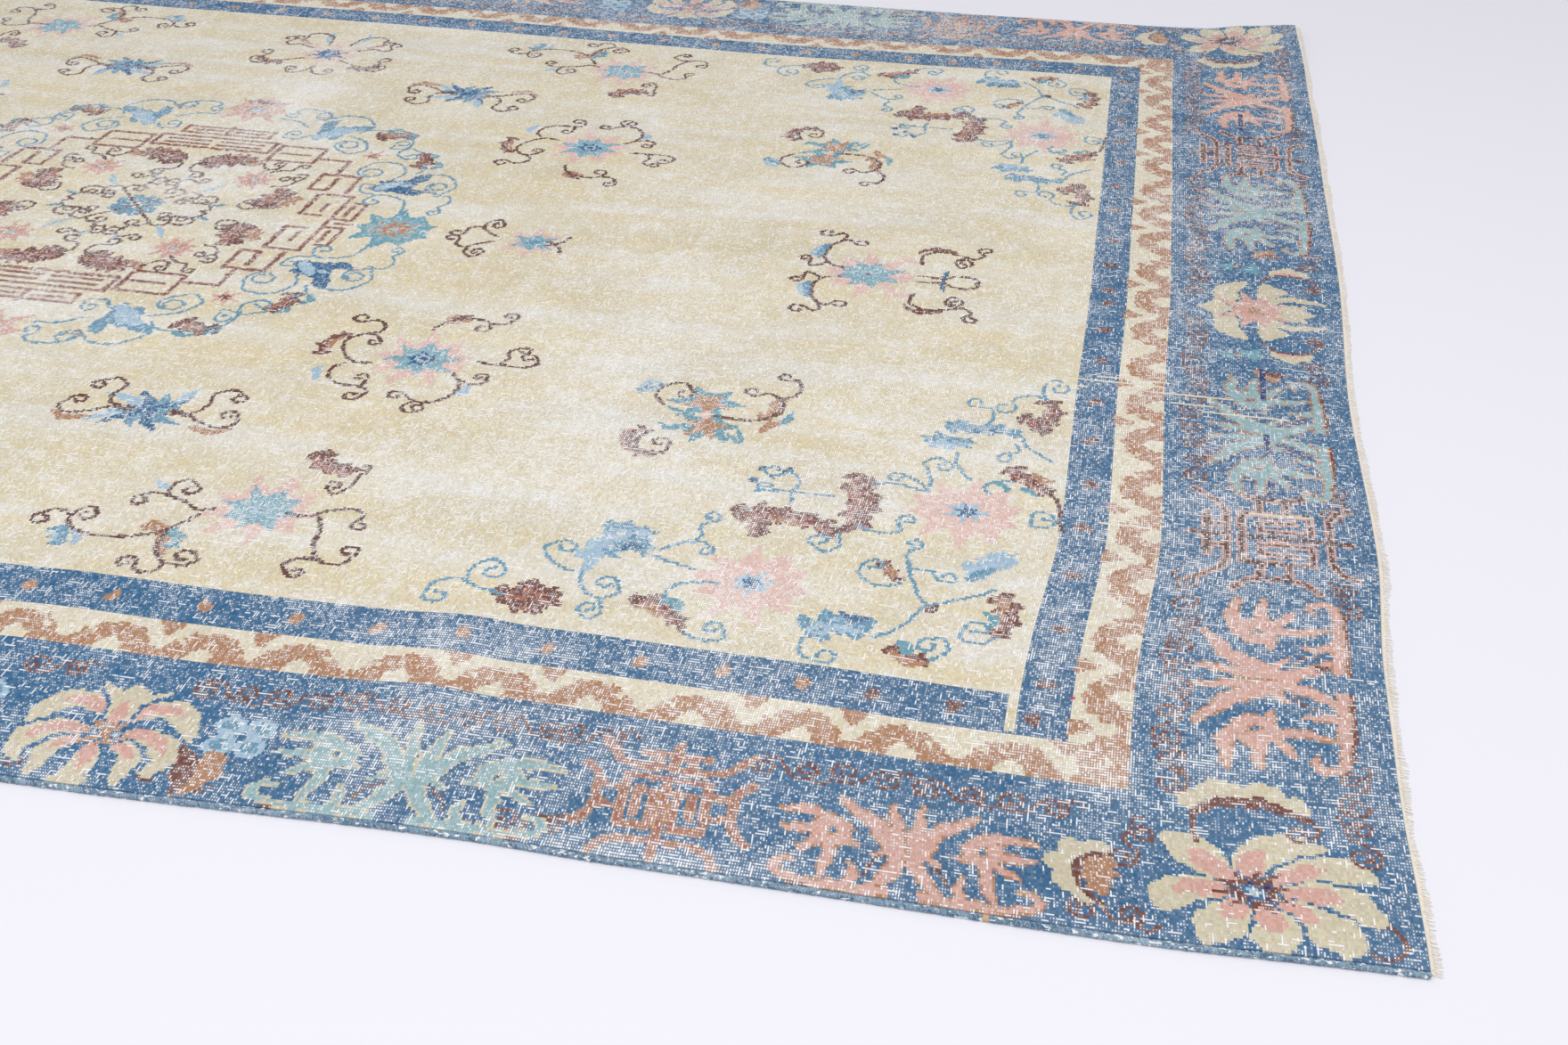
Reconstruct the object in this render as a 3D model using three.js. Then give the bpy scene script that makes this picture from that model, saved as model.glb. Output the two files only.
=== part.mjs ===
// A worn hand-knotted rug laid flat on a floor, in millimetres with +Z up. Its length runs along X.
// It is made of a knotted body, an overcast selvedge along each long side and a cut warp fringe on each end.
import * as THREE from "three";
import { mergeVertices } from "three/addons/utils/BufferGeometryUtils.js";

// Driving dimensions.
const HALF_LENGTH = 1453; // from the centre to the last row of knots
const HALF_WIDTH = 1050; // from the centre to the outside of a selvedge
const BODY_THICKNESS = 4.5; // cotton ground and worn wool pile together
const SELVEDGE_WIDTH = 7;
const SELVEDGE_THICKNESS = 5.6;
const STRIP_WIDTH = 3; // the bare woven strip that holds the fringe
const FRINGE_THICKNESS = 2.2;
const LOCK_LENGTH = 6;
const LOCK_WIDTH = 8;
const LOCKS_PER_END = 120;
const PIECE_GAP = 0.3;
const CORNER_LIFT = 6; // the far right corner curls up off the floor
const CORNER_REACH = 190; // how far the curl runs back from the corner along both edges

// Steps of the meshes.
const BODY_STEPS_LONG = 42;
const BODY_STEPS_WIDE = 26;
const SELVEDGE_SIDES = 8;

// How far each edge of the old rug bulges out from a true rectangle: at is the place along the edge.
const NEAR_EDGE = [
  { at: -1453, out: 0 },
  { at: -1000, out: -5 },
  { at: -500, out: -2 },
  { at: 0, out: 0 },
  { at: 450, out: 0 },
  { at: 780, out: -9 },
  { at: 900, out: -6 },
  { at: 1250, out: -3 },
  { at: 1453, out: -10 },
];
const FAR_EDGE = [
  { at: -1453, out: 6 },
  { at: -950, out: 2 },
  { at: -400, out: 4 },
  { at: 300, out: 4 },
  { at: 880, out: 7 },
  { at: 1180, out: 13 },
  { at: 1300, out: 19 },
  { at: 1380, out: 38 },
  { at: 1453, out: 56 },
];
const RIGHT_EDGE = [
  { at: -1050, out: 4 },
  { at: -830, out: -2 },
  { at: -690, out: -2 },
  { at: -510, out: 5 },
  { at: -200, out: -3 },
  { at: 110, out: 3 },
  { at: 500, out: -1 },
  { at: 850, out: -6 },
  { at: 1050, out: -14 },
];
const LEFT_EDGE = [
  { at: -1050, out: 2 },
  { at: -600, out: -3 },
  { at: -150, out: 3 },
  { at: 350, out: -2 },
  { at: 750, out: 4 },
  { at: 1050, out: -3 },
];

// The bulge at a place on an edge, eased from one row of its table to the next.
function bulge(edge, at) {
  const next = edge.findIndex((row) => row.at >= at);
  if (next <= 0) return edge[next === 0 ? 0 : edge.length - 1].out;
  const [from, to] = [edge[next - 1], edge[next]];
  const share = THREE.MathUtils.smoothstep(at, from.at, to.at);
  return THREE.MathUtils.lerp(from.out, to.out, share);
}

// The body's edges, as coordinates: the ends at a y, and the sides at an x.
const sideInset = SELVEDGE_WIDTH + PIECE_GAP;
const endX = (side, y) => side * (HALF_LENGTH + bulge(side > 0 ? RIGHT_EDGE : LEFT_EDGE, y));
const outerY = (side, x) => side * (HALF_WIDTH + bulge(side > 0 ? FAR_EDGE : NEAR_EDGE, x));

// How high the cloth lies above the floor.
function lift(x, y) {
  const back = HALF_LENGTH - x + (HALF_WIDTH - y);
  return CORNER_LIFT * THREE.MathUtils.smoothstep(CORNER_REACH - back, 0, CORNER_REACH);
}

// A place on the body from -1 to 1 along and across it, pulled out to its uneven edges.
function bodyPlace(along, across) {
  const x = along * HALF_LENGTH;
  const y = across * (HALF_WIDTH - sideInset);
  const [endSide, longSide] = [along < 0 ? -1 : 1, across < 0 ? -1 : 1];
  const endShift = endX(endSide, y) - endSide * HALF_LENGTH;
  const sideShift = outerY(longSide, x) - longSide * HALF_WIDTH;
  return [x + endShift * along ** 4, y + sideShift * across ** 4];
}

// A place on one end of the body, on the straight edges between its grid points.
function endPlace(side, across) {
  const step = ((across + 1) / 2) * BODY_STEPS_WIDE;
  const cell = Math.min(Math.floor(step), BODY_STEPS_WIDE - 1);
  const [from, to] = [cell, cell + 1].map((j) => {
    const [x, y] = bodyPlace(side, (2 * j) / BODY_STEPS_WIDE - 1);
    return new THREE.Vector3(x, y, lift(x, y));
  });
  return from.lerp(to, step - cell);
}

function closedMesh(name, positions, triangles, color) {
  const made = new THREE.BufferGeometry();
  made.setAttribute("position", new THREE.Float32BufferAttribute(positions.flat(), 3));
  made.setIndex(triangles.flat());
  const geometry = mergeVertices(made, 1e-4);
  geometry.computeVertexNormals();
  const material = new THREE.MeshStandardMaterial({ color, roughness: 0.95, metalness: 0 });
  const mesh = new THREE.Mesh(geometry, material);
  mesh.name = name;
  return mesh;
}

// Two triangles for a four-cornered face, its corners given anticlockwise from outside.
const quad = (a, b, c, d) => [
  [a, b, c],
  [a, c, d],
];

// The knotted body: a thin slab whose upper and lower faces share one grid.
function body() {
  const positions = [];
  for (const height of [0, BODY_THICKNESS]) {
    for (let i = 0; i <= BODY_STEPS_LONG; i++) {
      for (let j = 0; j <= BODY_STEPS_WIDE; j++) {
        const [x, y] = bodyPlace((2 * i) / BODY_STEPS_LONG - 1, (2 * j) / BODY_STEPS_WIDE - 1);
        positions.push([x, y, height + lift(x, y)]);
      }
    }
  }
  const layer = (BODY_STEPS_LONG + 1) * (BODY_STEPS_WIDE + 1);
  const at = (level, i, j) => level * layer + i * (BODY_STEPS_WIDE + 1) + j;
  const triangles = [];
  for (let i = 0; i < BODY_STEPS_LONG; i++) {
    for (let j = 0; j < BODY_STEPS_WIDE; j++) {
      triangles.push(...quad(at(1, i, j), at(1, i + 1, j), at(1, i + 1, j + 1), at(1, i, j + 1)));
      triangles.push(...quad(at(0, i, j), at(0, i, j + 1), at(0, i + 1, j + 1), at(0, i + 1, j)));
    }
    const last = BODY_STEPS_WIDE;
    triangles.push(...quad(at(0, i, 0), at(0, i + 1, 0), at(1, i + 1, 0), at(1, i, 0)));
    triangles.push(...quad(at(0, i + 1, last), at(0, i, last), at(1, i, last), at(1, i + 1, last)));
  }
  for (let j = 0; j < BODY_STEPS_WIDE; j++) {
    const last = BODY_STEPS_LONG;
    triangles.push(...quad(at(0, 0, j + 1), at(0, 0, j), at(1, 0, j), at(1, 0, j + 1)));
    triangles.push(...quad(at(0, last, j), at(0, last, j + 1), at(1, last, j + 1), at(1, last, j)));
  }
  return closedMesh("rug_body", positions, triangles, 0xd9cba0);
}

// An overcast edge: a rounded cord of wool along one long side, flat underneath.
function selvedge(name, side) {
  const positions = [];
  const inset = (SELVEDGE_WIDTH / 2) * side;
  const corner = 1 / Math.cos(Math.PI / SELVEDGE_SIDES);
  for (let i = 0; i <= BODY_STEPS_LONG; i++) {
    const along = (2 * i) / BODY_STEPS_LONG - 1;
    const middle = outerY(side, along * HALF_LENGTH) - inset;
    const x = bodyPlace(along, side)[0];
    for (let k = 0; k < SELVEDGE_SIDES; k++) {
      const turn = ((k + 0.5) / SELVEDGE_SIDES) * 2 * Math.PI;
      const y = middle + (SELVEDGE_WIDTH / 2) * corner * Math.cos(turn);
      const height = (SELVEDGE_THICKNESS / 2) * (1 + corner * Math.sin(turn));
      positions.push([x, y, height + lift(x, middle)]);
    }
  }
  const at = (i, k) => i * SELVEDGE_SIDES + (k % SELVEDGE_SIDES);
  const triangles = [];
  for (let i = 0; i < BODY_STEPS_LONG; i++) {
    for (let k = 0; k < SELVEDGE_SIDES; k++) {
      triangles.push(...quad(at(i, k), at(i, k + 1), at(i + 1, k + 1), at(i + 1, k)));
    }
  }
  for (let k = 1; k < SELVEDGE_SIDES - 1; k++) {
    triangles.push([at(0, 0), at(0, k + 1), at(0, k)]);
    triangles.push([at(BODY_STEPS_LONG, 0), at(BODY_STEPS_LONG, k), at(BODY_STEPS_LONG, k + 1)]);
  }
  return closedMesh(name, positions, triangles, 0x4f88a8);
}

// A number from 0 to 1 that looks random but is the same each time.
function scatter(number) {
  const wave = Math.sin(number * 12.9898) * 43758.5453;
  return wave - Math.floor(wave);
}

// A fringe: a narrow woven strip along one end with its warp ends gathered in short locks.
function fringe(name, side) {
  const positions = [];
  const triangles = [];
  const facing = (a, b, c, d) => triangles.push(...(side > 0 ? quad(a, b, c, d) : quad(d, c, b, a)));
  const span = 2 * (HALF_WIDTH - sideInset);
  const pitch = span / LOCKS_PER_END;
  const margin = (pitch - LOCK_WIDTH) / 2;
  // A column is the strip's cut at one y: its inner and outer edge, each at the foot and at the top.
  const column = (y) => {
    const end = endPlace(side, y / (HALF_WIDTH - sideInset));
    const inner = end.x + side * PIECE_GAP;
    const first = positions.length;
    for (const x of [inner, inner + side * STRIP_WIDTH]) {
      for (const height of [0, FRINGE_THICKNESS]) {
        positions.push([x, end.y, height + end.z]);
      }
    }
    return { y: end.y, x: inner + side * STRIP_WIDTH, base: end.z, first };
  };
  const strip = (from, to, open) => {
    const [a, b] = [from.first, to.first];
    facing(a + 1, a + 3, b + 3, b + 1);
    facing(a, b, b + 2, a + 2);
    facing(a, a + 1, b + 1, b);
    if (!open) facing(a + 2, b + 2, b + 3, a + 3);
  };
  const lock = (from, to, index) => {
    const reach = side * LOCK_LENGTH * (0.75 + 0.25 * scatter(index + side));
    const lean = 3 * (scatter(index * 3 + side) - 0.5);
    const narrow = LOCK_WIDTH * (0.15 + 0.12 * scatter(index * 7 + side));
    const first = positions.length;
    const tips = [
      { y: from.y + narrow + lean, x: from.x + reach, base: from.base },
      { y: to.y - narrow + lean, x: to.x + reach, base: to.base },
    ];
    for (const tip of tips) {
      for (const height of [0, FRINGE_THICKNESS * 0.7]) positions.push([tip.x, tip.y, height + tip.base]);
    }
    const [a, b] = [from.first, to.first];
    facing(a + 3, first + 1, first + 3, b + 3);
    facing(a + 2, b + 2, first + 2, first);
    facing(a + 2, first, first + 1, a + 3);
    facing(b + 2, b + 3, first + 3, first + 2);
    facing(first, first + 2, first + 3, first + 1);
  };
  const start = column(-span / 2);
  let last = start;
  for (let index = 0; index < LOCKS_PER_END; index++) {
    const root = -span / 2 + index * pitch + margin;
    const [from, to] = [column(root), column(root + LOCK_WIDTH)];
    strip(last, from, false);
    strip(from, to, true);
    lock(from, to, index);
    last = to;
  }
  const end = column(span / 2);
  strip(last, end, false);
  facing(start.first, start.first + 2, start.first + 3, start.first + 1);
  facing(end.first, end.first + 1, end.first + 3, end.first + 2);
  return closedMesh(name, positions, triangles, 0xf0e8d6);
}

const rug = new THREE.Group();
rug.add(body());
rug.add(selvedge("selvedge_near", -1));
rug.add(selvedge("selvedge_far", 1));
rug.add(fringe("fringe_left", -1));
rug.add(fringe("fringe_right", 1));

// The origin is below the middle of the whole rug.
const reach = new THREE.Box3().setFromObject(rug);
const middle = reach.getCenter(new THREE.Vector3());
rug.position.set(-middle.x, -middle.y, -reach.min.z);

export default rug;
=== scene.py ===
import bpy
import numpy as np
from mathutils import Matrix, Vector


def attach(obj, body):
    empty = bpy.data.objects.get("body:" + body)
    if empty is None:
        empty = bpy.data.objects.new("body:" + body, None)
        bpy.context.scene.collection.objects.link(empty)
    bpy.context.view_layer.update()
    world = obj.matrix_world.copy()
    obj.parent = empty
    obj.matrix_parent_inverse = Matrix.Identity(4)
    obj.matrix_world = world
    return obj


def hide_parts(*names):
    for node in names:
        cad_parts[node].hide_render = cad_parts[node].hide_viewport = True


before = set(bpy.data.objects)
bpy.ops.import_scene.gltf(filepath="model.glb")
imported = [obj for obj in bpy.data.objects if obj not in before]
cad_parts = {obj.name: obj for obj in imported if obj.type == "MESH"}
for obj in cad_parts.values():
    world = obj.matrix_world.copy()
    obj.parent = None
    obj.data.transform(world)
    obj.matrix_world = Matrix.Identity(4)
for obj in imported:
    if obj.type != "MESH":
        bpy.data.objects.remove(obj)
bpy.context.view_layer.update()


# The design is drawn in millimetres on a chart of one quarter of the rug, a square for each knot, and
# mirrored. The chart's x runs along the rug and its y across it, both from the middle.
PILE_HALF_LENGTH = 1453.0
PILE_HALF_WIDTH = 1042.7
ROWS = 692  # rows of knots from the middle to an end
KNOTS = 316  # knots from the middle to a side
ROW_PITCH = PILE_HALF_LENGTH / ROWS
KNOT_PITCH = PILE_HALF_WIDTH / KNOTS

# Bands from the field outward: where each ends, along the rug and across it.
FIELD = (1170, 777)
BLUE_GUARD = (1211, 829)
CREAM_GUARD = (1259, 878)

# Dyes, as colours on a screen.
DYES = {
    "cream": (220, 211, 188),
    "blue": (61, 104, 141),
    "tan": (174, 127, 93),
    "brown": (98, 62, 54),
    "pink": (208, 164, 151),
    "teal": (104, 154, 170),
    "seafoam": (146, 178, 182),
    "sky": (164, 190, 208),
    "straw": (205, 195, 169),
    "copper": (160, 104, 86),
    "mid_blue": (104, 149, 173),
    "maroon": (114, 68, 57),
    "navy": (44, 62, 110),
    "rose": (190, 70, 110),
    "ivory": (219, 209, 184),
    "blush": (222, 188, 176),
    "pale_teal": (126, 168, 181),
}

# How easily each dyed wool wears away, from 0 to 1. Brown and maroon dyes rot the wool, so they wear first.
EASILY_WORN = {
    "cream": 0.51, "blue": 0.53, "tan": 0.60, "brown": 0.54, "pink": 0.43, "teal": 0.42, "seafoam": 0.41,
    "sky": 0.41, "straw": 0.40, "copper": 0.62, "mid_blue": 0.44, "maroon": 0.58, "navy": 0.45, "rose": 0.40,
    "ivory": 0.56, "blush": 0.47, "pale_teal": 0.52,
}
INK = {name: number for number, name in enumerate(DYES)}


class Pen:
    """Draws on a chart in millimetres, from a place and in a direction of its own."""

    def __init__(self, chart, place=0j, turn=1 + 0j, flip=False):
        self.chart, self.place, self.turn, self.flip = chart, place, turn, flip

    def moved(self, x, y, degrees=0.0, size=1.0, flip=False):
        turn = size * np.exp(1j * np.radians(degrees))
        place = self.on_chart(complex(x, y))
        if self.flip:
            turn = turn.conjugate()
        return Pen(self.chart, place, self.turn * turn, self.flip != flip)

    def on_chart(self, points):
        return self.place + self.turn * (np.conj(points) if self.flip else points)

    def both(self):
        """This pen and its mirror image across its own upright line."""
        return self, Pen(self.chart, self.place, -self.turn, not self.flip)

    def fill(self, points, ink):
        points = self.on_chart(np.asarray(points))
        window = knots_near(points, 0.0)
        if window is None:
            return
        part, x, y = window
        inside = np.zeros(x.shape, bool)
        ends = np.roll(points, -1)
        for start, end in zip(points, ends):
            if start.imag == end.imag:
                continue
            crosses = (start.imag > y) != (end.imag > y)
            at = start.real + (y - start.imag) * (end.real - start.real) / (end.imag - start.imag)
            inside ^= crosses & (x < at)
        self.chart[part][inside] = INK[ink]

    def stroke(self, path, width, ink):
        path = self.on_chart(np.asarray(path))
        radius = width / 2 * abs(self.turn)
        window = knots_near(path, radius, 0.4)
        if window is None:
            return
        part, x, y = window
        here = x + 1j * y
        near = np.full(x.shape, np.inf)
        for start, end in zip(path[:-1], path[1:]):
            step = end - start
            share = np.clip(((here - start) * np.conj(step)).real / max(abs(step) ** 2, 1e-9), 0, 1)
            near = np.minimum(near, abs(here - start - share * step))
        self.chart[part][near <= radius] = INK[ink]


def knots_near(points, margin, by_eye=1.0):
    """The chart's part round some points, with its knots' places, up to 1.6 mm off as if set by eye."""
    low = int(np.floor((points.real.min() - margin) / ROW_PITCH - 0.5))
    high = int(np.ceil((points.real.max() + margin) / ROW_PITCH + 0.5))
    left = int(np.floor((points.imag.min() - margin) / KNOT_PITCH - 0.5))
    right = int(np.ceil((points.imag.max() + margin) / KNOT_PITCH + 0.5))
    low, high = max(low, 0), min(high, ROWS)
    left, right = max(left, 0), min(right, KNOTS)
    if low >= high or left >= right:
        return None
    x = (np.arange(low, high)[:, None] + 0.5) * ROW_PITCH
    y = (np.arange(left, right)[None, :] + 0.5) * KNOT_PITCH
    by_eye_x = 0.9 * np.sin(y * 0.21 + x * 0.05) + 0.7 * np.sin(y * 0.56 + 1.7)
    by_eye_y = 0.9 * np.sin(x * 0.19 - y * 0.07) + 0.7 * np.sin(x * 0.47 + 0.6)
    return (slice(low, high), slice(left, right)), x + by_eye * by_eye_x, y + by_eye * by_eye_y


CURVE_STEPS = 7  # from one point of a smooth line to the next
SPIRAL_STEPS = 26
OVAL_STEPS = 20


# Shapes, as points in the complex plane: the real part is along, the imaginary part is up.
def scroll(start, heading, length, first_bend, last_bend):
    """A line whose bend, in degrees for each 10 mm, runs evenly from first_bend to last_bend."""
    share = np.linspace(0, 1, SPIRAL_STEPS)
    turned = (first_bend * share + (last_bend - first_bend) * share**2 / 2) * length / 10
    headings = np.radians(heading + (turned[1:] + turned[:-1]) / 2)
    steps = np.exp(1j * headings) * length / (SPIRAL_STEPS - 1)
    return complex(*start) + np.concatenate([[0], np.cumsum(steps)])


def ribbon(path, width, peak=0.4, blunt=0.0, tip=None, scallops=0, depth=0.0):
    """An outline round a path: widest at peak, and this share of its width at its foot and its tip."""
    share = np.linspace(0, 1, len(path))
    least = np.where(share < peak, blunt, blunt if tip is None else tip)
    full = np.where(share < peak, share / peak, (1 - share) / (1 - peak))
    full = least + (1 - least) * np.sin(full * np.pi / 2) ** 0.8
    if scallops:
        full = full * (1 - depth + depth * abs(np.sin(share * np.pi * scallops)))
    step = np.gradient(path)
    side = 1j * step / abs(step) * full * width / 2
    return np.concatenate([path + side, (path - side)[::-1]])


def burst(count, outer, inner, degrees=0.0):
    """A star of count points, a little uneven."""
    step = np.arange(2 * count)
    uneven = np.sin(step * 2.4 + count + outer)
    angle = np.radians(degrees) + (step + 0.22 * np.sin(step * 4.1 + inner)) * np.pi / count
    radius = np.where(step % 2, inner * (1 + 0.08 * uneven), outer * (0.97 + 0.13 * uneven))
    return radius * np.exp(1j * angle)


def oval(width, height, centre=(0, 0)):
    angle = np.linspace(0, 2 * np.pi, OVAL_STEPS, endpoint=False)
    return complex(*centre) + width / 2 * np.cos(angle) + 1j * height / 2 * np.sin(angle)


def line(*points):
    return np.array([complex(*point) for point in points])


def coil(x, y, radius, degrees):
    """A spiral that winds in clockwise round (x, y), from its rim at this angle."""
    turns, drawn_in = 1.25, 0.72
    share = np.linspace(0, 1, SPIRAL_STEPS)
    angle = np.radians(degrees) - share * turns * 2 * np.pi
    return complex(x, y) + radius * (1 - drawn_in * share) * np.exp(1j * angle)


def curve(*points):
    """A smooth line through some points."""
    given = line(*points)
    padded = np.concatenate([[2 * given[0] - given[1]], given, [2 * given[-1] - given[-2]]])
    share = np.linspace(0, 1, CURVE_STEPS, endpoint=False)
    spans = []
    for before, start, end, after in zip(padded, padded[1:], padded[2:], padded[3:]):
        first, second = end - before, 2 * before - 5 * start + 4 * end - after
        third = 3 * (start - end) + after - before
        spans.append(start + 0.5 * share * (first + share * (second + share * third)))
    return np.concatenate([*spans, given[-1:]])


WIDE_COIL = 12  # a wider one turns further round
RADIAN_OVER_10 = 573  # the bend of a circle, in degrees for each 10 mm, times its radius
LAST_BEND = 2.2  # a coil's bend at its end, against that at its start
MEAN_BEND = 1.6
STEM_WIDTH = {"brown": 4.6, "mid_blue": 3.9}
WIDE_LEAF = 17  # from this width on, a leaf has pointed lobes
LIGHTER_DYE = {"maroon": "copper", "mid_blue": "sky", "blue": "mid_blue"}


def tendrils(pen, ink, rows):
    """Thin lines, most of them ending in a coil. A row holds the coil's radius, signed by its hand, or 0,
    and the points that the line goes through."""
    for radius, *points in rows:
        path = curve(*points)
        if radius:
            heading = np.degrees(np.angle(path[-1] - path[-2]))
            bend = RADIAN_OVER_10 / (1.42 * radius)
            turned = 470 if abs(radius) > WIDE_COIL else 305
            length = turned / (MEAN_BEND * abs(bend)) * 10
            path = np.concatenate([path, scroll(points[-1], heading, length, bend, bend * LAST_BEND)[1:]])
            pen.fill(oval(6, 6.5, (path[-1].real, path[-1].imag)), ink)
        pen.stroke(path, STEM_WIDTH[ink], ink)


def leaves(pen, rows, scallops=3, depth=0.3):
    """Leaves, each with its dye, its width and the points that it follows."""
    for ink, width, *points in rows:
        path = curve(*points)
        if width < WIDE_LEAF:
            pen.fill(ribbon(path, width, 0.5, 0.25, scallops=scallops, depth=depth), ink)
            continue
        pen.fill(ribbon(path, width * 0.66, 0.45, 0.4, 0.15), ink)
        way = np.gradient(path)
        way = way / abs(way)
        for number in range(1, len(path) - 1, 5):
            reach = width * (0.62 - 0.16 * number / len(path))
            for side in (-1, 1):
                out = way[number] * np.exp(1j * side * (1.15 + 0.25 * np.sin(number + width)))
                lobe = path[number] + out * np.linspace(0, reach, 8)
                pen.fill(ribbon(lobe, width * 0.42, 0.3, 0.9, 0.15), ink)
        if ink in LIGHTER_DYE:
            inner = path[2:-2] + 0.10 * width * 1j * way[2:-2]
            pen.fill(ribbon(inner, width * 0.64, 0.4, 0.3, scallops=4, depth=0.6), LIGHTER_DYE[ink])
            pen.stroke(path[1:], 3.6, ink)


def star_flower(pen, x, y, outer, inner, heart, turn):
    """A loose star of petals with another star on it, and a ring round its heart."""
    here = pen.moved(x, y, turn)
    here.fill(burst(9, 64, 36, 10), outer)
    here.fill(burst(8, 43, 24, 25), inner)
    here.fill(burst(6, 19, 11, 0), heart)
    ring = oval(13, 13)
    here.stroke(np.append(ring, ring[0]), 3.4, "sky")
    here.fill(oval(5, 5), "maroon")


# Border motifs: x runs along the border, y towards the field, from the motif's own middle.
def petal(pen, width, *points, heart=0.66, gap=5):
    """A straw petal with a pink heart, and a thin line of blue round it."""
    path = curve(*points)
    pen.fill(ribbon(path, width + gap, peak=0.6, blunt=0.45, tip=0.3), "blue")
    pen.fill(ribbon(path, width, peak=0.6, blunt=0.45, tip=0.22, scallops=2.5, depth=0.12), "straw")
    path = path[:int(len(path) * heart)]
    pen.fill(ribbon(path, width * 0.58, peak=0.45, blunt=0.7, tip=0.15), "pink")


def lotus(pen):
    """A palmette seen from the side, with a crown and drooping petals."""
    for half in pen.both():
        petal(half, 25, (10, 18), (22, 33), (42, 36), (58, 22), (66, -2), gap=8)
        petal(half, 24, (16, 0), (34, 1), (51, -8), (59, -26), (52, -46), gap=8)
        petal(half, 18, (14, -12), (27, -18), (34, -34), (33, -60), gap=8)
    petal(pen, 24, (0, -16), (0, -42), (0, -72), gap=7)
    pen.fill(line((-8, -52), (-18, -62), (-8, -66), (0, -70), (9, -66), (14, -58), (8, -50)), "straw")
    crown = line(
        (-10, 16), (-12, 35), (-22, 46), (-31, 60), (-12, 54), (-1, 64), (10, 53), (32, 60), (20, 46),
        (12, 35), (10, 16),
    )
    pen.stroke(crown, 7, "blue")
    pen.fill(crown, "straw")
    pen.fill(ribbon(line((0, 10), (0, 26), (0, 43)), 15, peak=0.5, blunt=0.7, tip=0.15), "pink")
    pen.fill(burst(8, 22, 12, 90) - 1j, "tan")
    for half in pen.both():
        half.fill(oval(9.5, 9.5, (8.5, -2)), "blue")
        half.fill(oval(6, 6, (8.5, -2)), "sky")
    pen.fill(oval(5, 5, (0, 7)), "sky")
    pen.fill(oval(5, 5, (0, -10)), "blue")


def open_lotus(pen):
    """A flower seen from above: a pink star in straw petals with torn ends."""
    for half in pen.both():
        upper = curve((12, 12), (33, 33), (57, 31), (81, 8))
        half.fill(ribbon(upper, 30, peak=0.55, blunt=0.6, tip=0.1), "straw")
        torn = line(
            (8, 4), (36, -3), (62, -3), (82, -11), (73, -24), (62, -43), (48, -31), (36, -22), (10, -14),
        )
        half.fill(torn, "straw")
        lower = curve((20, -16), (38, -36), (38, -60), (31, -84))
        half.fill(ribbon(lower, 14, peak=0.4, blunt=0.7, tip=0.2), "straw")
        half.fill(line((0, 20), (12, 36), (32, 46), (18, 51), (0, 68)), "straw")
        half.fill(line((0, -20), (17, -26), (24, -50), (22, -62), (11, -57), (0, -74)), "straw")
        half.stroke(curve((20, 24), (32, 14), (48, 8)), 3, "blue")
        half.stroke(curve((16, 32), (12, 22)), 3, "blue")
    pen.fill(burst(9, 54, 26, 0), "pink")
    pen.fill(burst(7, 15, 8, 20), "tan")
    for x, y in ((-9, -12), (2, -14), (12, -10), (17, -13)):
        pen.fill(oval(5, 6, (x, y)), "maroon")


def corner_lotus(pen):
    """The larger open flower in each corner, with petals of uneven size."""
    petal(pen, 35, (-12, 10), (-28, 28), (-42, 44), (-58, 56))
    petal(pen, 33, (-2, 16), (4, 40), (22, 53), (52, 54), heart=0.5)
    petal(pen, 31, (13, 10), (36, 27), (60, 32), (86, 24), heart=0.55)
    petal(pen, 37, (18, -2), (44, 0), (64, -6), (84, -24), heart=0.6)
    petal(pen, 38, (14, -12), (36, -26), (54, -42), (60, -60), heart=0.45)
    petal(pen, 38, (4, -16), (10, -40), (10, -64))
    petal(pen, 36, (-10, -14), (-24, -36), (-38, -60), heart=0.5)
    petal(pen, 32, (-18, -2), (-42, -3), (-58, -14), (-66, -32), heart=0.6)
    pen.fill(burst(10, 30, 13, 12), "maroon")
    for degrees in range(0, 360, 72):
        pen.moved(0, 0, degrees + 30).fill(oval(6, 5, (11, 0)), "navy")
    pen.fill(oval(17, 16), "blue")
    pen.fill(oval(9, 9), "sky")
    pen.fill(oval(4.5, 4.5), "straw")


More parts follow.
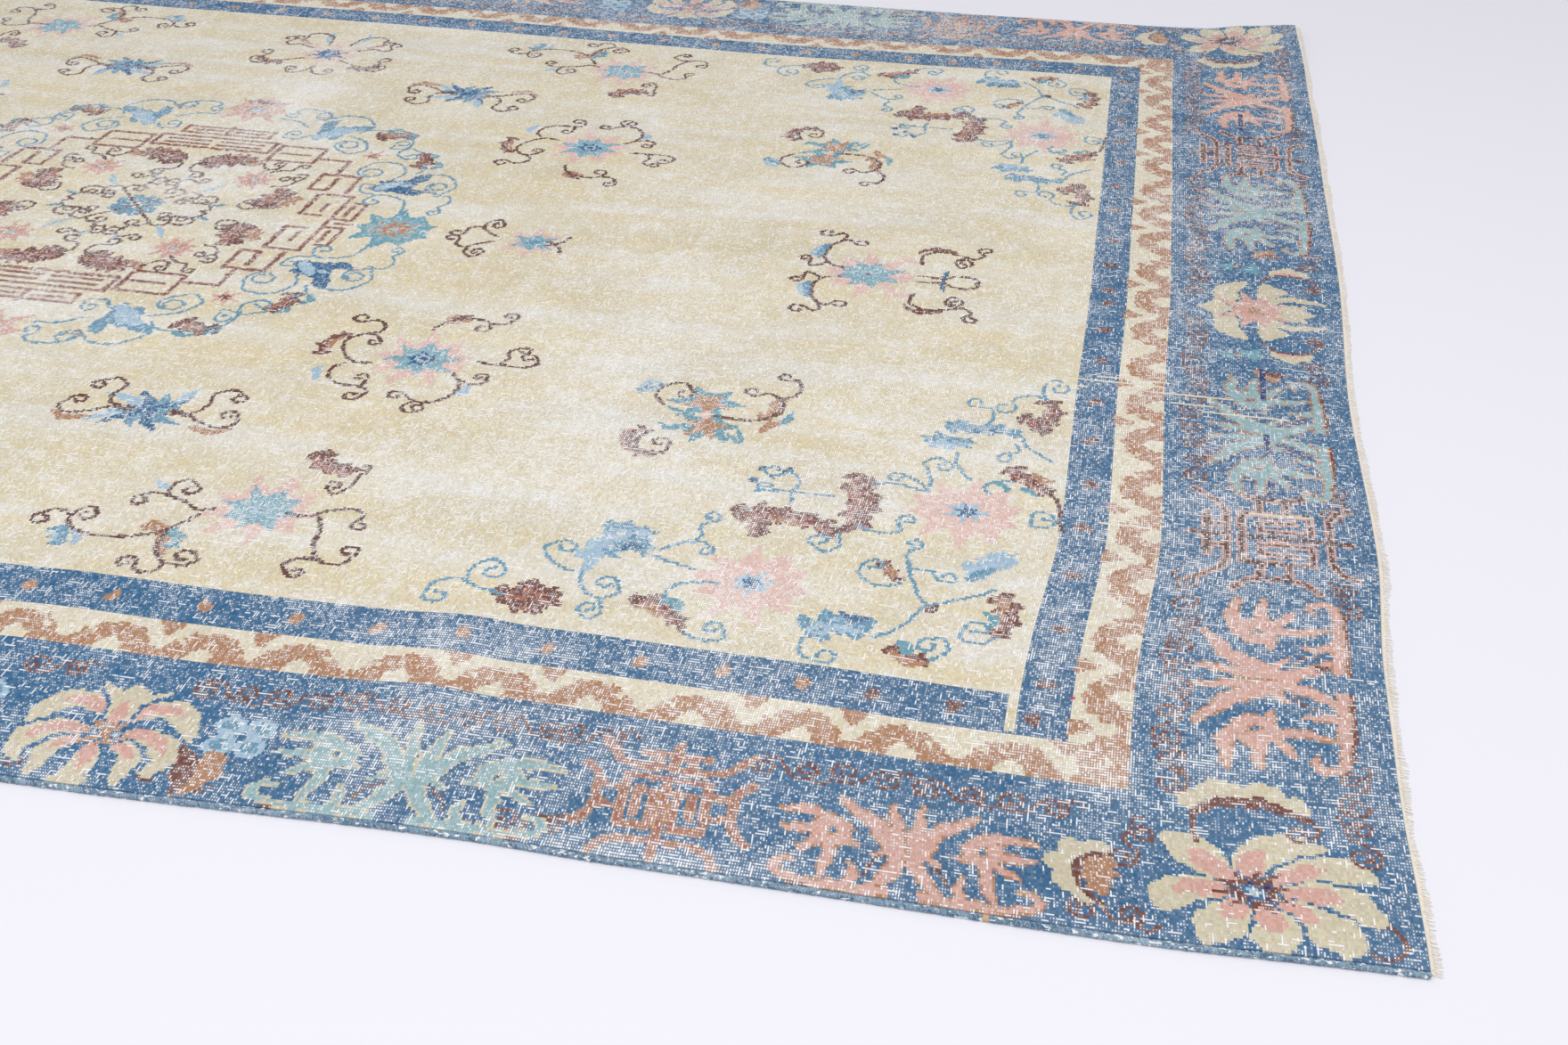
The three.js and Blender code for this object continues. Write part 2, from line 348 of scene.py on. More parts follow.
def twin_leaf(pen, ink, edge, reach=1.0):
    """Fronds that part from a stem, with a ringed eye on each side, over a low foot with curled ends."""
    shapes = (
        # width, share of it at the foot, where it is widest, points
        (10, 0.9, 0.3, (5, -30), (6, -6), (8, 18), (12, 44)),
        (13, 0.8, 0.4, (7, -20), (15, 0), (26, 18), (38, 27), (55, 41)),
        (10, 1.0, 0.4, (4, -12), (9, -32), (18, -47), (28, -58)),
        (5, 0.9, 0.3, (10, -14), (19, -17), (27, -24)),
        (10, 0.9, 0.4, (52, 9), (70, 19), (99, 17)),
        (8, 0.9, 0.4, (60, -1), (78, -2), (98, -3)),
        (7, 0.9, 0.4, (60, -8), (71, -18), (84, -27)),
        (6, 0.9, 0.4, (48, -6), (42, -11), (34, -12)),
        (8, 1.0, 0.4, (58, -10), (59, -34), (64, -56)),
        (8, 1.0, 0.4, (10, -60), (40, -60), (68, -60), (86, -57)),
        (6, 0.9, 0.3, (42, -56), (39, -44), (41, -31)),
        (6, 1.0, 0.4, (80, -58), (92, -56), (96, -46), (89, -38), (81, -42)),
    )
    for wider, dye in ((3.6, edge), (0, ink)):
        for half in pen.both():
            for width, blunt, peak, *points in shapes:
                path = curve(*[(x * reach, y) for x, y in points])
                half.fill(ribbon(path, width + wider, peak, blunt, 0.35 if wider else 0.0), dye)
            half.fill(oval(31 * reach + wider, 31 + wider, (57 * reach, 0)), dye)
        pen.fill(line((-8, -24), (-7, 2), (7, 2), (8, -24)), dye)
    for half in pen.both():
        half.fill(oval(10, 13, (56 * reach, 0)), edge)
        half.fill(oval(5, 7, (56 * reach, 0)), "blue")
        half.stroke(curve((12, -67), (46 * reach, -67), (84 * reach, -64)), 3.0, "maroon")
        half.stroke(curve((19, -26), (27 * reach, -34), (30 * reach, -45)), 3.0, "maroon")
    pen.stroke(line((0, -14), (0, 12)), 2.6, edge)


def fretwork(pen, ink, edge="tan", reach=1.0):
    """Plain fretwork: two mirrored key spirals in a frame, between curved brackets."""
    for width, dye in ((8.6, edge), (5.0, ink)):
        for half in pen.both():
            for path in (
                line((0, 37), (33, 37), (44, 42), (55, 56), (62, 64)),
                line((0, 54), (27, 54)),
                line((14, 54), (14, 39)),
                line((0, 24), (33, 24), (33, -36), (9, -36), (9, 8), (22, 8), (22, -22)),
                line((33, 8), (54, 8)),
                line((33, -16), (54, -16)),
                curve((68, 30), (57, 18), (54, -4), (57, -28), (68, -42)),
                line((0, -52), (28, -52), (42, -60), (48, -72)),
            ):
                half.stroke(reach * path.real + 1j * path.imag, width, dye)
        pen.stroke(line((0, 68), (0, 37)), width, dye)
        pen.stroke(line((0, 24), (0, -70)), width, dye)


def ring_blossom(pen):
    """A small blossom of four rings."""
    for half in pen.both():
        for height in (12, -12):
            half.fill(oval(25, 26, (12, height)), "sky")
        for height in (12, -12):
            half.fill(oval(14.5, 15.5, (12, height)), "mid_blue")


def bud(pen):
    """A nodding bud: a torn straw hood over a tan body."""
    hood = curve((20, 30), (2, 30), (-13, 18), (-17, -2), (-8, -22), (10, -36))
    pen.fill(ribbon(hood, 27, peak=0.45, blunt=0.4, tip=0.1, scallops=5, depth=0.6), "straw")
    body = curve((22, 22), (12, 10), (8, -6), (12, -24))
    pen.fill(ribbon(body, 30, peak=0.4, blunt=0.2, scallops=4, depth=0.4), "tan")
    pen.stroke(curve((20, 24), (4, 20), (-6, 4), (-3, -18), (8, -32)), 4.6, "maroon")


def curled_leaf(pen):
    """A long leaf arched over, with straw scallops on its back and curling ends."""
    back = curve((-44, -6), (-30, 12), (0, 18), (28, 12), (46, -4))
    pen.fill(ribbon(back, 32, peak=0.45, blunt=0.45, tip=0.1, scallops=4, depth=0.6), "straw")
    body = curve((-37, -14), (-18, 4), (8, 6), (30, -2), (45, -14))
    pen.fill(ribbon(body, 15, peak=0.4, blunt=0.4, tip=0.3, scallops=5, depth=0.35), "maroon")
    end = np.concatenate([curve((44, -12), (50, -20), (48, -30)), coil(37, -28, 11, 0)])
    pen.stroke(end, 3.8, "maroon")
    pen.stroke(curve((-36, -12), (-36, -30), (-33, -48)), 3.8, "maroon")


def flick(pen):
    """A small flame of two tones."""
    flame = curve((4, 26), (11, 8), (8, -10), (-2, -30))
    pen.fill(ribbon(flame, 27, peak=0.35, blunt=0.3, tip=0.05, scallops=3, depth=0.35), "tan")
    core = curve((-18, 28), (-8, 8), (-4, -10), (-6, -28))
    pen.fill(ribbon(core, 17, peak=0.35, blunt=0.3, tip=0.1), "maroon")


def small_teal_leaf(pen):
    """Two torn points with a tan dot between them."""
    pen.fill(line((-24, -3), (-6, 12), (-3, 2), (-4, -12)), "teal")
    pen.fill(line((0, -6), (22, 16), (27, -20)), "teal")
    pen.fill(oval(8, 8, (-1, 1)), "tan")


def bract(pen):
    """A small arched leaf with a long curling stem."""
    back = curve((-24, 8), (-9, 16), (8, 17), (22, 6))
    pen.fill(ribbon(back, 23, blunt=0.4, scallops=3, depth=0.5), "straw")
    pen.fill(ribbon(curve((-20, 6), (-4, 11), (10, 10)), 9, blunt=0.3), "pink")
    stem = curve((-32, -12), (-14, 5), (10, 5), (28, -10), (33, -26))
    pen.stroke(np.concatenate([stem, coil(24, -27, 9, 0)]), 4.6, "maroon")


VINE_WIDTH = 3.7


def vine(pen, places):
    """Thin S-shaped tendrils, each with a coil at both ends."""
    for number, place in enumerate(places):
        here = pen.moved(place, 2.5 * np.sin(number * 2.3), 8 * np.sin(number * 3.1), 1, number % 2 == 1)
        here.stroke(coil(-16, 0, 12, -90), VINE_WIDTH, "maroon")
        here.stroke(coil(16, 0, 10.5, 90), VINE_WIDTH, "maroon")
        here.stroke(curve((-16, -12), (-5, -9), (4, 7), (16, 10.5)), VINE_WIDTH, "maroon")
        here.stroke(curve((22, 12), (29, 15), (36, 9)), 3.4, "maroon")


def main_border(side, end):
    """side starts from the middle of a long side's border, and end from the middle of an end's."""
    at = side.moved
    vine(at(0, 50), (-30, 34, 98, 160, 222, 284, 395, 544, 606, 668, 732, 794, 848, 1002, 1064, 1128, 1192))
    vine(at(0, -60), (100, 300, 405, 546, 822, 1240))
    vine(at(1262, 16, 60), (0,))
    hook = curve(
        (1408, -33), (1422, -37), (1434, -48), (1440, -62), (1434, -74), (1422, -78), (1412, -71),
        (1415, -63),
    )
    side.stroke(hook, VINE_WIDTH, "maroon")
    fretwork(at(0, -10, 0, 0.96), "copper")
    twin_leaf(at(196, -15, 0, 1.05), "pink", "tan")
    ring_blossom(at(350, 0))
    lotus(at(474, -19))
    ring_blossom(at(579, -5))
    flick(at(560, -52))
    twin_leaf(at(723, -14, 0, 1.05), "seafoam", "straw", 1.1)
    fretwork(at(918, -10, 0, 0.96), "copper")
    twin_leaf(at(1100, -17), "pink", "tan", 0.97)
    bud(at(1227, -22))
    corner_lotus(at(1343, -20))
    curled_leaf(at(1342, 78))
    at = end.moved
    vine(at(0, 66), (-60, -118, -182, -246, -310, -374, -596, -660, -724, -788, -846))
    vine(at(0, -66), (-150, -428, -588, -858, -916))
    twin_leaf(at(-714, 5, 0, 1.12), "pink", "tan", 1.1)
    fretwork(at(-492, -2, 0, 1.06), "brown", "pink", 1.2)
    twin_leaf(at(-294, 5, 0, 1.14), "seafoam", "tan", 1.1)
    flick(at(-160, -14, 150, 0.62))
    quarter = Pen(side.chart)
    small_teal_leaf(quarter.moved(1336, 118))
    bract(quarter.moved(1397, 98))
    open_lotus(at(0, 0, 0, 0.96))


def blue_guard_dots(pen, places, ink):
    for number, place in enumerate(places):
        pen.fill(oval(13, 17, (place, 1.5 * np.sin(number * 2.2))), ink)


def cream_guard_wave(pen, count, pitch):
    """A tan wave along the outer edge, notched with ivory, under tan points on the inner edge."""
    drawn_pitch = 84
    arch = line(
        (-42, -24), (-42, -15), (-34, -11), (-29, 1), (-22, 5), (-17, 13), (-6, 12), (3, 17), (14, 13),
        (22, 12), (25, 3), (32, 0), (35, -10), (42, -15), (42, -24),
    )
    notch = line((-12, -25), (-10, -14), (-3, -9), (1, -4), (6, -9), (11, -13), (12, -25))
    for number in range(count):
        uneven = np.sin(number * 2.7)
        here = pen.moved(number * pitch, 0, *((180, 1, True) if number % 3 == 1 else ()))
        here.fill(arch * pitch / drawn_pitch + uneven, "tan")
        here.fill(notch + 2 * uneven, "ivory")
        here.fill(line((-27, 3), (-16, 3), (-21, -6)) + uneven, "ivory")
        here.moved(pitch / 2, 0).fill(line((-13, 25), (13, 25), (7, 14), (2, 5), (-3, 6), (-6, 15)), "tan")


def upper_spray(pen):
    """A star flower with curling stems, beside the medallion."""
    star_flower(pen, 490, 322, "blush", "pale_teal", "blue", 12)
    leaves(pen, (
        ("maroon", 19, (380, 336), (377, 312), (384, 290), (396, 281)),
        ("tan", 9, (384, 322), (383, 304), (390, 292)),
        ("sky", 12, (400, 392), (392, 374), (395, 360)),
        ("sky", 13, (545, 396), (556, 380), (552, 368)),
        ("tan", 22, (486, 232), (496, 220), (508, 214)),
        ("brown", 7, (488, 228), (498, 214), (510, 208)),
    ))
    tendrils(pen, "brown", (
        (7, (441, 342), (420, 343), (402, 323), (395, 300), (405, 281), (420, 278), (430, 288)),
        (9, (405, 281), (422, 270), (423, 256), (411, 244), (399, 250)),
        (-7, (414, 347), (405, 363), (410, 383), (427, 395), (448, 393), (450, 378)),
        (8, (430, 395), (448, 396), (460, 404), (457, 417)),
        (7, (547, 316), (568, 317), (577, 302), (573, 286), (582, 276)),
        (-8, (572, 317), (597, 318), (610, 308), (606, 294)),
        (-8, (531, 347), (543, 363), (547, 387), (533, 410), (513, 413), (498, 400)),
        (-7, (541, 358), (556, 366), (569, 361), (570, 350)),
        (-7, (516, 413), (506, 424), (512, 437), (522, 434)),
        (8, (476, 252), (484, 232), (506, 218), (526, 220), (534, 232)),
        (-8, (530, 224), (548, 222), (556, 208)),
    ))


def flame_spray(pen):
    """Two torn teal flowers on an arched stem."""
    for x, y, turn in ((803, 352, 20), (812, 402, 65)):
        flame = pen.moved(x, y, turn)
        flame.fill(burst(6, 42, 19, 40), "teal")
        flame.fill(burst(5, 28, 13, 64), "tan")
    pen.fill(oval(12, 16, (808, 378)), "blush")
    leaves(pen, (
        ("tan", 20, (862, 372), (874, 355), (872, 336), (880, 318)),
        ("teal", 9, (880, 385), (890, 366), (888, 350)),
        ("tan", 15, (868, 400), (872, 388), (880, 376)),
        ("mid_blue", 17, (727, 343), (738, 332), (752, 326)),
        ("sky", 9, (726, 330), (735, 318), (748, 316)),
        ("teal", 8, (766, 368), (780, 377), (794, 372)),
        ("teal", 10, (765, 402), (780, 412), (795, 398)),
        ("teal", 9, (835, 408), (850, 424), (846, 400)),
        ("maroon", 19, (757, 418), (742, 432), (744, 452), (760, 466), (776, 468)),
    ))
    tendrils(pen, "brown", (
        (0, (815, 377), (850, 380), (874, 365), (880, 340), (870, 325)),
        (8, (874, 365), (880, 340), (872, 326), (860, 318), (851, 324)),
        (7, (872, 327), (887, 318), (890, 300), (884, 284), (875, 286)),
        (9, (760, 364), (747, 345), (753, 324), (770, 315), (782, 328)),
        (-9, (762, 422), (752, 442), (762, 464), (782, 462), (786, 446)),
    ))


def lower_spray(pen):
    """A star flower with long stems, near the side."""
    star_flower(pen, 453, 643, "blush", "pale_teal", "pale_teal", 30)
    leaves(pen, (
        ("maroon", 30, (462, 530), (474, 550), (492, 560), (516, 556)),
        ("sky", 10, (337, 617), (346, 626), (356, 628)),
        ("mid_blue", 20, (288, 708), (296, 722), (302, 738)),
        ("sky", 10, (304, 714), (312, 724), (314, 738)),
        ("tan", 24, (362, 690), (378, 696), (392, 712), (400, 736)),
        ("teal", 17, (386, 696), (400, 706), (402, 728)),
    ))
    tendrils(pen, "brown", (
        (-7, (477, 645), (500, 645), (515, 632), (535, 626), (548, 634), (544, 648)),
        (-8, (509, 646), (519, 664), (524, 692), (538, 714), (560, 716), (567, 700)),
        (-7, (538, 713), (520, 714), (511, 726), (518, 739)),
        (0, (514, 548), (520, 547), (520, 562)),
        (7, (516, 562), (516, 588), (506, 603), (497, 596)),
        (-8, (410, 653), (396, 658), (377, 647), (350, 638), (335, 644)),
        (8, (357, 640), (355, 618), (366, 610), (378, 618)),
        (8, (402, 664), (388, 690), (376, 704), (350, 716), (317, 716), (293, 702), (290, 682),
         (300, 670), (308, 678)),
        (-8, (291, 690), (272, 681), (260, 692)),
        (-9, (386, 696), (390, 728), (406, 746), (424, 748), (434, 738), (430, 730)),
        (-8, (408, 750), (404, 762), (388, 765), (383, 752)),
    ))


def blue_spray(pen):
    """A blue flower between two stems that mirror each other."""
    flower = pen.moved(262, 490)
    for degrees, reach, ink in (
        (28, 50, "mid_blue"), (58, 46, "blue"), (98, 36, "mid_blue"), (138, 52, "blue"),
        (172, 40, "mid_blue"), (212, 58, "sky"), (242, 44, "blue"), (282, 38, "mid_blue"),
        (312, 52, "blue"), (340, 34, "mid_blue"),
    ):
        path = curve((2, 0), (reach / 2, 3), (reach, -3))
        flower.moved(0, 0, degrees).fill(ribbon(path, 15, 0.45, 0.6, 0.0, scallops=3, depth=0.3), ink)
    for degrees in (150, 205, 300):
        flower.moved(0, 0, degrees).fill(ribbon(curve((22, 6), (44, 4), (64, 0)), 10, 0.5, 0.2), "sky")
    flower.fill(burst(6, 16, 9, 0), "blue")
    for half in pen.moved(265, 490).both():
        tendrils(half, "brown", (
            (8, (18, -5), (44, -6), (52, -24), (48, -46), (62, -58), (78, -50)),
            (-8, (18, 3), (42, 1), (58, 12), (80, 20), (94, 8), (90, -8)),
        ))
        leaves(half, (("tan", 13, (52, 22), (76, 30), (96, 18)),))


def field_sprays(pen):
    upper_spray(pen)
    flame_spray(pen)
    lower_spray(pen)
    blue_spray(pen)


def axis_sprays(pen):
    """A small star and a large one, on the line through the middle from end to end."""
    small = pen.moved(510, 0)
    small.fill(burst(7, 46, 22, 90), "blush")
    small.fill(burst(6, 32, 15, 30), "pale_teal")
    small.fill(burst(5, 12, 6, 0), "mid_blue")
    tendrils(pen, "brown", (
        (-8, (463, 7), (450, 18), (436, 30), (424, 26), (422, 10)),
        (-8, (440, 28), (440, 46), (452, 57), (460, 48)),
        (0, (528, 4), (541, 4), (548, 16), (550, 26)),
    ))
    star_flower(pen, 915, 0, "blush", "pale_teal", "pale_teal", 3)
    leaves(pen, (
        ("mid_blue", 16, (850, 34), (850, 56), (858, 78)),
        ("sky", 8, (842, 40), (843, 58), (850, 72)),
        ("maroon", 12, (964, 72), (975, 86), (995, 88), (1010, 84)),
        ("blush", 16, (940, 52), (956, 50), (972, 46)),
        ("blue", 7, (1002, -4), (1002, 14), (1004, 32)),
    ))
    tendrils(pen, "brown", (
        (8, (882, 13), (864, 22), (856, 46), (862, 78), (876, 94), (886, 84)),
        (-9, (868, 88), (874, 104), (868, 112), (858, 104)),
        (7, (862, 24), (852, 12), (842, 12), (842, 28)),
        (0, (972, 42), (970, 66), (990, 82), (1014, 76), (1024, 70)),
        (-8, (1018, 74), (1032, 70), (1042, 80), (1036, 90)),
        (8, (1020, 70), (1010, 58), (1016, 42), (1026, 48)),
        (0, (972, 9), (1002, 6), (1012, 14), (1030, 16), (1042, 8), (1040, 0)),
    ))


def cross_spray(pen):
    """A star on the line through the middle from side to side."""
    cross = pen.moved(0, 610)
    cross.fill(burst(8, 52, 26, 0), "blush")
    cross.fill(burst(8, 36, 14, 22), "blue")
    cross.fill(oval(10, 10), "sky")
    leaves(pen, (
        ("maroon", 20, (52, 560), (72, 556), (88, 570), (92, 586)),
        ("sky", 10, (20, 660), (30, 690), (26, 716)),
        ("tan", 12, (44, 650), (60, 664), (66, 680)),
    ))
    tendrils(pen, "brown", (
        (-9, (30, 586), (52, 572), (76, 566), (92, 580), (86, 596)),
        (9, (76, 566), (84, 552), (98, 552), (104, 566)),
        (-9, (34, 634), (58, 648), (74, 642), (84, 652), (78, 664)),
        (9, (16, 656), (24, 690), (44, 704), (62, 696), (62, 682)),
        (8, (0, 556), (8, 528), (24, 520), (34, 530)),
    ))


def corner_sprays(pen):
    """The flowers, berries and leaves that fill a corner of the field."""
    for x, y, turn in ((921, 668, 5), (1083, 505, 20)):
        flower = pen.moved(x, y, turn)
        flower.fill(burst(10, 64, 38, 0), "blush")
        flower.fill(burst(7, 22, 11, 30), "sky")
        flower.fill(burst(6, 13, 6, 0), "blue")
    leaves(pen, (
        ("maroon", 34, (873, 558), (900, 550), (930, 552), (956, 558), (976, 570)),
        ("maroon", 22, (906, 560), (902, 578), (906, 592)),
        ("maroon", 36, (984, 462), (978, 482), (990, 510), (984, 534), (990, 556)),
        ("maroon", 26, (1142, 268), (1150, 296), (1142, 322), (1140, 346)),
        ("maroon", 26, (1118, 310), (1132, 318), (1142, 334)),
        ("maroon", 26, (1116, 414), (1128, 432), (1146, 444), (1160, 462)),
        ("maroon", 26, (1132, 636), (1144, 654), (1146, 682), (1138, 702)),
        ("maroon", 18, (1020, 610), (1034, 622), (1046, 636)),
        ("maroon", 14, (1076, 664), (1084, 676)),
        ("maroon", 34, (710, 744), (732, 732), (748, 730), (770, 740)),
        ("maroon", 24, (726, 716), (744, 724), (760, 722)),
        ("maroon", 20, (728, 752), (742, 748), (756, 754)),
        ("maroon", 24, (826, 722), (846, 714), (866, 732), (884, 756)),
        ("maroon", 24, (1058, 730), (1072, 746), (1092, 744)),
    ), scallops=4, depth=0.45)
    leaves(pen, (
        ("tan", 11, (915, 564), (925, 560), (938, 566)),
        ("tan", 12, (1138, 418), (1146, 430), (1158, 434)),
        ("tan", 12, (1128, 640), (1138, 648), (1140, 660)),
        ("tan", 12, (832, 726), (846, 726), (856, 738)),
        ("tan", 10, (1062, 740), (1074, 754), (1090, 750)),
        ("tan", 9, (1026, 614), (1036, 622), (1040, 630)),
        ("teal", 9, (1100, 446), (1112, 450), (1118, 462)),
        ("teal", 8, (1128, 452), (1138, 456), (1146, 466)),
        ("teal", 10, (1124, 664), (1134, 672), (1134, 684)),
        ("teal", 13, (852, 712), (864, 714), (872, 728)),
        ("teal", 12, (1060, 724), (1070, 732), (1074, 744)),
    ), scallops=0)
    leaves(pen, (
        ("mid_blue", 26, (1032, 382), (1044, 372), (1060, 378), (1078, 374)),
        ("mid_blue", 24, (1046, 350), (1062, 342), (1080, 346), (1098, 340), (1118, 346)),
        ("blue", 8, (1052, 350), (1080, 348), (1104, 346)),
        ("sky", 15, (1036, 392), (1046, 384), (1058, 392)),
        ("mid_blue", 12, (1054, 330), (1060, 344), (1070, 356)),
        ("sky", 30, (1098, 606), (1112, 592), (1124, 580), (1136, 566)),
        ("mid_blue", 16, (1100, 620), (1112, 606), (1122, 596)),
        ("mid_blue", 38, (984, 728), (1000, 714), (1018, 712), (1036, 718)),
        ("blue", 14, (1006, 694), (1018, 702), (1034, 698)),
        ("sky", 15, (982, 728), (994, 722), (1002, 734)),
        ("mid_blue", 24, (768, 608), (784, 604), (800, 610), (816, 606)),
        ("sky", 30, (766, 664), (772, 640), (784, 616)),
        ("sky", 26, (796, 612), (806, 624), (812, 636)),
        ("mid_blue", 20, (784, 654), (794, 634), (806, 622), (816, 648)),
        ("blue", 13, (792, 642), (802, 632), (810, 644)),
        ("sky", 14, (770, 690), (774, 668), (780, 650)),
    ), scallops=3, depth=0.4)
    for x, y, size in ((883, 470, 9), (907, 470, 10), (880, 494, 10), (896, 484, 5)):
        pen.fill(oval(size, size + 2, (x, y)), "blue")


def corner_tendrils(pen):
    """The stems between them."""
    tendrils(pen, "mid_blue", (
        (8, (990, 553), (1010, 561), (1028, 552), (1024, 538)),
        (9, (975, 570), (980, 592), (968, 604), (956, 594)),
        (-8, (990, 474), (1015, 470), (1043, 478), (1030, 460), (1018, 452)),
        (8, (1043, 478), (1042, 450), (1034, 426), (1044, 412), (1056, 418)),
        (0, (1080, 446), (1064, 420), (1062, 398)),
        (9, (1080, 346), (1090, 322), (1086, 300), (1074, 300)),
        (10, (1142, 268), (1124, 262), (1108, 274), (1110, 290)),
        (9, (1138, 268), (1136, 240), (1146, 222), (1158, 232)),
        (0, (1120, 348), (1128, 370), (1146, 388), (1154, 394)),
        (-8, (1118, 366), (1120, 382), (1108, 388)),
        (0, (1100, 468), (1094, 456), (1104, 444), (1118, 440)),
    ))
    tendrils(pen, "brown", (
        (0, (1150, 448), (1164, 470), (1168, 500), (1170, 520)),
    ))
    tendrils(pen, "mid_blue", (
        (10, (1168, 500), (1158, 516), (1144, 516), (1142, 502)),
        (0, (1128, 628), (1116, 640), (1096, 652), (1074, 664), (1056, 632), (1046, 606)),
        (-8, (1052, 612), (1068, 612), (1076, 622)),
        (-7, (1048, 606), (1042, 588), (1050, 578)),
        (8, (1046, 640), (1026, 646), (1008, 632), (1008, 616)),
        (10, (1140, 700), (1128, 712), (1112, 708), (1112, 692)),
        (0, (1073, 666), (1066, 690), (1054, 712), (1040, 724)),
        (-9, (996, 724), (982, 742), (986, 764), (1000, 770)),
        (-9, (1092, 744), (1104, 730), (1098, 712), (1086, 714)),
        (-8, (884, 757), (904, 762), (918, 756), (914, 742)),
        (0, (853, 716), (853, 692), (870, 678), (892, 676)),
        (0, (818, 642), (838, 650), (864, 658)),
        (10, (762, 686), (742, 676), (726, 656), (734, 644)),
        (-9, (772, 686), (778, 708), (798, 722), (812, 710), (808, 696)),
        (8, (798, 722), (806, 742), (798, 754), (788, 746)),
        (-8, (826, 636), (842, 618), (856, 606), (852, 586), (862, 576)),
        (7, (842, 618), (860, 612), (870, 618)),
        (-10, (714, 738), (690, 732), (668, 720), (650, 730), (648, 746)),
        (10, (676, 722), (676, 698), (690, 686), (702, 696)),
        (0, (890, 510), (920, 506), (958, 507)),
        (9, (920, 507), (922, 484), (912, 472), (902, 478)),
        (6, (896, 509), (886, 512), (886, 502)),
        (0, (920, 507), (921, 530)),
    ))


def medallion(pen):
    """The round centre: a flower and pink blossoms, a ring of key fret and an outer wreath."""
    medallion_heart(pen)
    medallion_fret(pen)
    medallion_wreath(pen)


def medallion_heart(pen):
    """The middle flower, and a pink blossom between torn leaves."""
    for x, y in ((18, 10), (10, 19)):
        pen.fill(oval(25, 25, (x, y)), "mid_blue")
    tendrils(pen, "brown", (
        (8, (0, 0), (22, 26), (38, 44), (36, 58), (24, 60)),
        (-8, (38, 44), (48, 54), (62, 48), (62, 34)),
        (8, (22, 62), (16, 84), (28, 94), (38, 88)),
        (-7, (20, 72), (6, 70), (2, 82)),
        (-8, (64, 44), (84, 46), (90, 32), (84, 24)),
        (8, (84, 24), (66, 22), (56, 28)),
        (7, (86, 22), (94, 8), (86, 0)),
    ))
    leaves(pen, (
        ("mid_blue", 9, (88, 16), (98, 20), (106, 26)),
        ("sky", 9, (56, 56), (68, 72), (78, 88)),
        ("sky", 6, (20, 84), (22, 96), (20, 106)),
    ))
    pink = pen.moved(105, 112)
    pink.fill(burst(9, 34, 17, 10), "pink")
    pink.fill(burst(8, 22, 5, 0), "tan")
    pink.fill(oval(9, 9), "sky")
    leaves(pen, (
        ("maroon", 40, (14, 152), (34, 160), (58, 168), (92, 172)),
        ("maroon", 22, (30, 176), (50, 182), (70, 184)),
        ("maroon", 40, (150, 26), (156, 48), (158, 70), (164, 92)),
        ("tan", 22, (168, 38), (180, 52), (182, 72)),
        ("tan", 16, (72, 158), (86, 164), (94, 180)),
    ), scallops=5, depth=0.4)
    tendrils(pen, "brown", (
        (-9, (22, 156), (8, 142), (12, 124), (26, 120)),
        (-9, (148, 26), (134, 18), (122, 26), (124, 40)),
        (7, (92, 170), (104, 150), (118, 152), (122, 164)),
        (-7, (112, 134), (124, 148), (140, 152), (142, 166)),
        (7, (136, 96), (152, 100), (160, 116), (150, 126)),
        (-7, (150, 140), (164, 142), (166, 130)),
    ))


def medallion_fret(pen):
    """A ring of key fret, in brown lines edged with copper."""
    for path in (
        line((232, 20), (206, 20), (206, 85), (249, 85), (249, 12)),
        line((228, 34), (228, 60)),
        line((249, 12), (276, 12), (276, 66), (262, 66)),
        line((262, 24), (262, 56)),
        line((206, 98), (184, 98), (184, 150), (234, 150), (236, 96)),
        line((208, 100), (208, 138)),
        line((200, 152), (200, 199), (156, 199)),
        line((92, 181), (154, 181), (154, 234), (92, 234), (92, 181)),
        line((100, 207), (140, 207)),
        line((4, 203), (82, 203), (82, 240), (4, 240)),
        line((8, 215), (66, 215)),
        line((8, 228), (66, 228)),
        line((0, 254), (62, 254), (62, 278), (6, 278)),
        line((10, 266), (50, 266)),
        line((0, 254), (0, 282)),
        line((249, 0), (249, 12)),
        line((262, 0), (280, 0)),
    ):
        pen.stroke(path, 7.0, "copper")
        pen.stroke(path, 3.2, "maroon")


